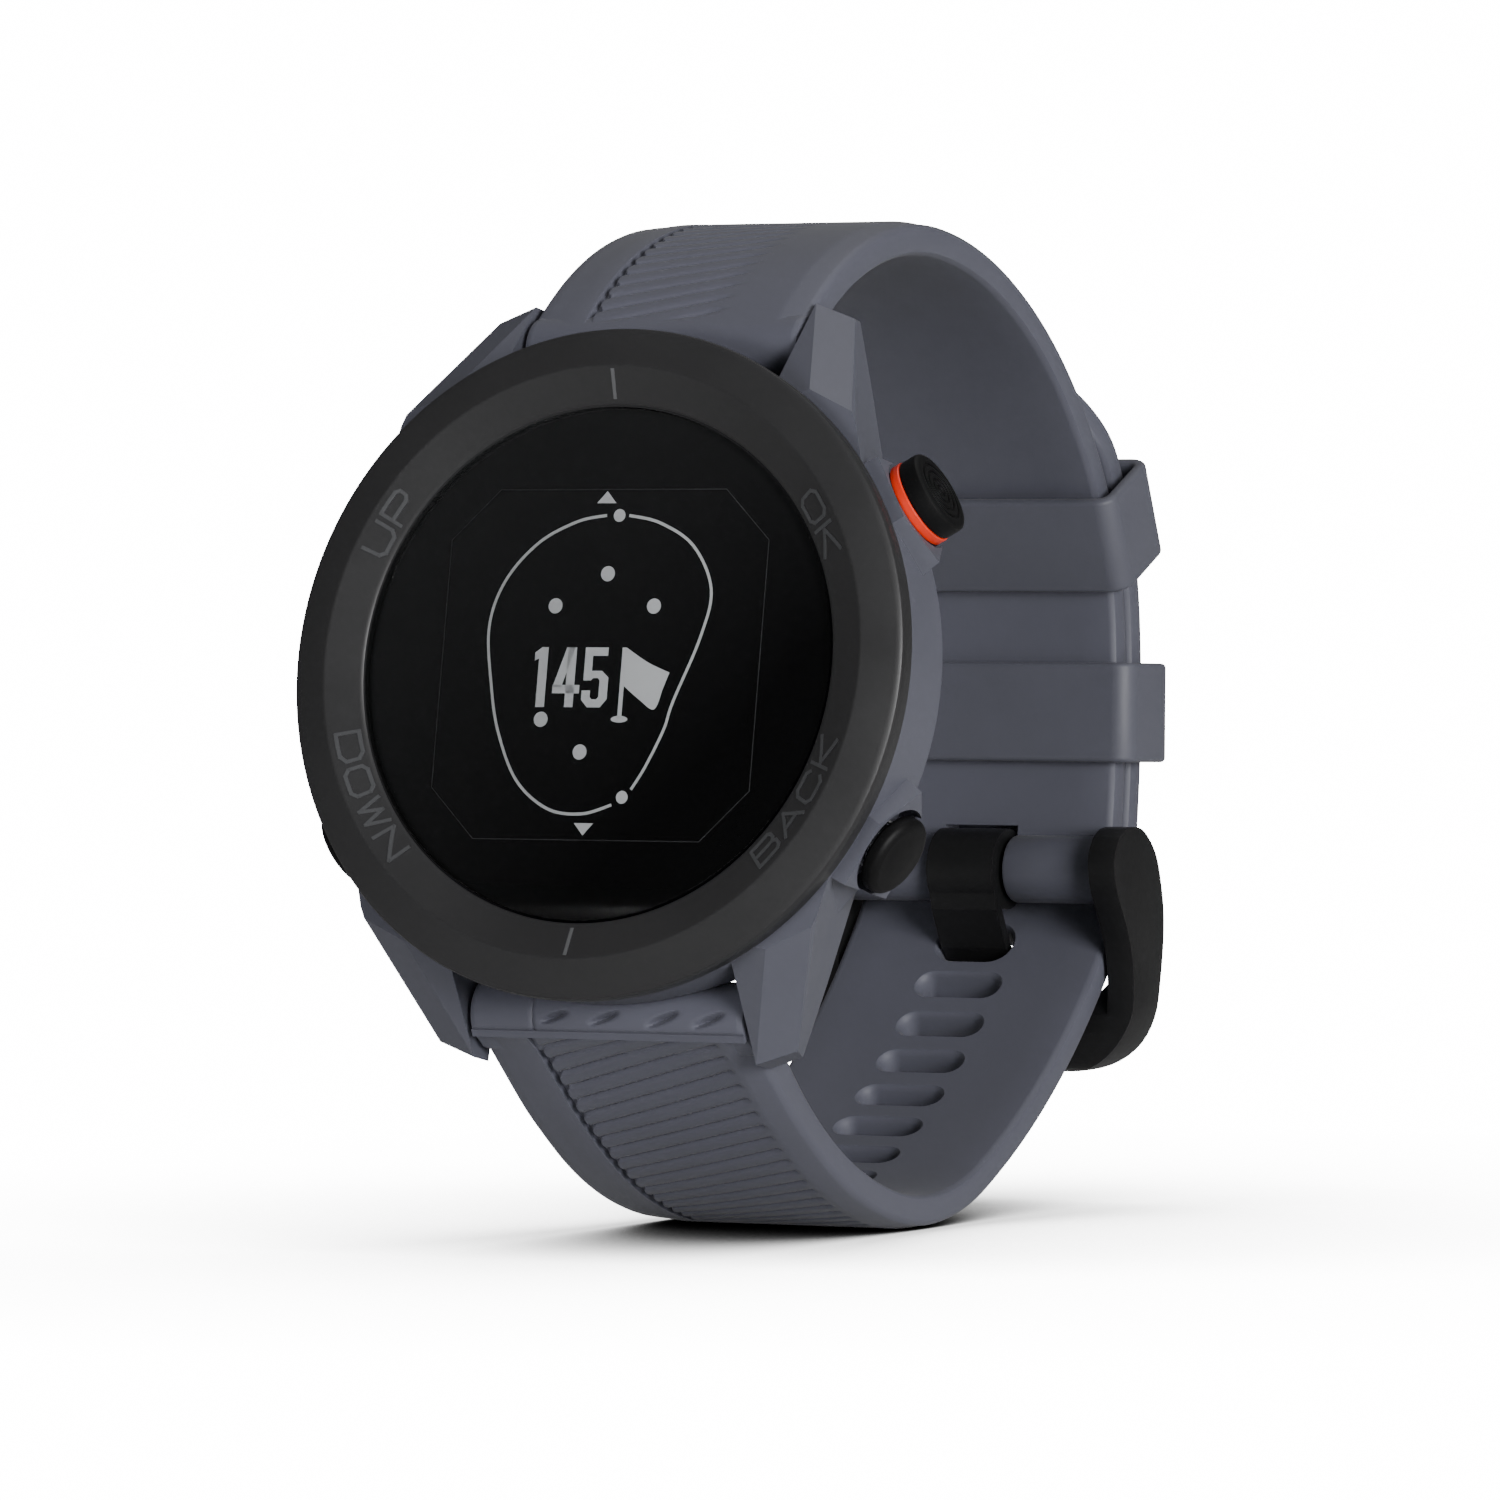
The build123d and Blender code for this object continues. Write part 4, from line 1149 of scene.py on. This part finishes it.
def floor_finish_with_painted_shadow():
    """Plain white floor that glows evenly white to the camera, with a painted shadow: ambient occlusion darkens it
    softly where things stand on it.
    """
    material = finish("floor_white", (225, 225, 225), 0.7, grain=300, bump=0.0, vary=0.005)
    nodes, links = material.node_tree.nodes, material.node_tree.links
    painted_shadow = nodes.new("ShaderNodeAmbientOcclusion")
    painted_shadow.samples = 24
    painted_shadow.inputs["Distance"].default_value = PAINTED_SHADOW_DISTANCE
    depth = nodes.new("ShaderNodeMath")
    depth.operation = "POWER"
    depth.inputs[1].default_value = PAINTED_SHADOW_FALLOFF
    links.new(painted_shadow.outputs["AO"], depth.inputs[0])
    bright = nodes.new("ShaderNodeMath")
    bright.operation = "MULTIPLY"
    bright.inputs[1].default_value = WHITE
    links.new(depth.outputs["Value"], bright.inputs[0])
    glow = nodes.new("ShaderNodeEmission")
    links.new(bright.outputs["Value"], glow.inputs["Strength"])
    ray = nodes.new("ShaderNodeLightPath")
    mix = nodes.new("ShaderNodeMixShader")
    links.new(ray.outputs["Is Camera Ray"], mix.inputs["Fac"])
    links.new(nodes["Principled BSDF"].outputs["BSDF"], mix.inputs[1])
    links.new(glow.outputs["Emission"], mix.inputs[2])
    links.new(mix.outputs["Shader"], nodes["Material Output"].inputs["Surface"])
    return material


def make_world():
    """White behind the object; dim sides and a brighter overhead for lighting it."""
    world = bpy.data.worlds.new("studio")
    bpy.context.scene.world = world
    world.use_nodes = True
    nodes, links = world.node_tree.nodes, world.node_tree.links
    where = nodes.new("ShaderNodeTexCoord")
    split = nodes.new("ShaderNodeSeparateXYZ")
    links.new(where.outputs["Generated"], split.inputs["Vector"])
    rise = nodes.new("ShaderNodeMapRange")
    rise.inputs["From Min"].default_value = 0.3
    rise.inputs["From Max"].default_value = 1.0
    rise.inputs["To Min"].default_value = SIDE_LIGHT
    rise.inputs["To Max"].default_value = OVERHEAD_LIGHT
    links.new(split.outputs["Z"], rise.inputs["Value"])
    ray = nodes.new("ShaderNodeLightPath")
    seen = nodes.new("ShaderNodeMix")
    links.new(ray.outputs["Is Camera Ray"], seen.inputs["Factor"])
    links.new(rise.outputs["Result"], seen.inputs["A"])
    seen.inputs["B"].default_value = WHITE
    links.new(seen.outputs["Result"], nodes["Background"].inputs["Strength"])
    nodes["Background"].inputs["Color"].default_value = (1, 1, 1, 1)


def make_studio():
    floor_mesh = bpy.data.meshes.new("floor")
    reach = FLOOR_REACH
    corners = [(-reach, -reach, 0), (reach, -reach, 0), (reach, reach, 0), (-reach, reach, 0)]
    floor_mesh.from_pydata(corners, [], [(0, 1, 2, 3)])
    floor = bpy.data.objects.new("floor", floor_mesh)
    bpy.context.scene.collection.objects.link(floor)
    floor_mesh.materials.append(floor_finish_with_painted_shadow())
    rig.stage(floor)
    make_world()
    area_light("key", (0.66, -0.42, 0.16), CENTRE, (0.35, 0.3), 7)
    area_light("low_front", (-0.15, -0.75, 0.06), CENTRE, (0.4, 0.1), 2.0, mirrored=False)
    area_light("top", (0.1, 0.15, 0.6), (0, 0.02, 0.03), (0.5, 0.3), 0.7)
    area_light("low_back", (-0.5, 0.8, 0.1), (0, 0.02, 0.03), (0.6, 0.2), 4.0, mirrored=False)


def make_camera():
    data = bpy.data.cameras.new("camera")
    data.sensor_width = 36
    data.lens = 224.12
    camera = bpy.data.objects.new("camera", data)
    camera.location = drawn(274.46, -531.34, 7.09)
    camera.rotation_euler = (math.radians(88.783), 0, math.radians(26.36))
    bpy.context.scene.collection.objects.link(camera)
    bpy.context.scene.camera = camera


make_upper_strap()
make_lower_strap()
make_keepers()
make_buckle_frame()
make_case_front()
make_display()
make_black_print()
make_buttons()
make_bar_springs()
dress_nodes()
make_studio()
make_camera()

visual_low, visual_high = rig.bounds()
with open("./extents.json", "w") as out:
    json.dump({"cad": [list(cad_low), list(cad_high)], "visual": [list(visual_low), list(visual_high)]}, out)
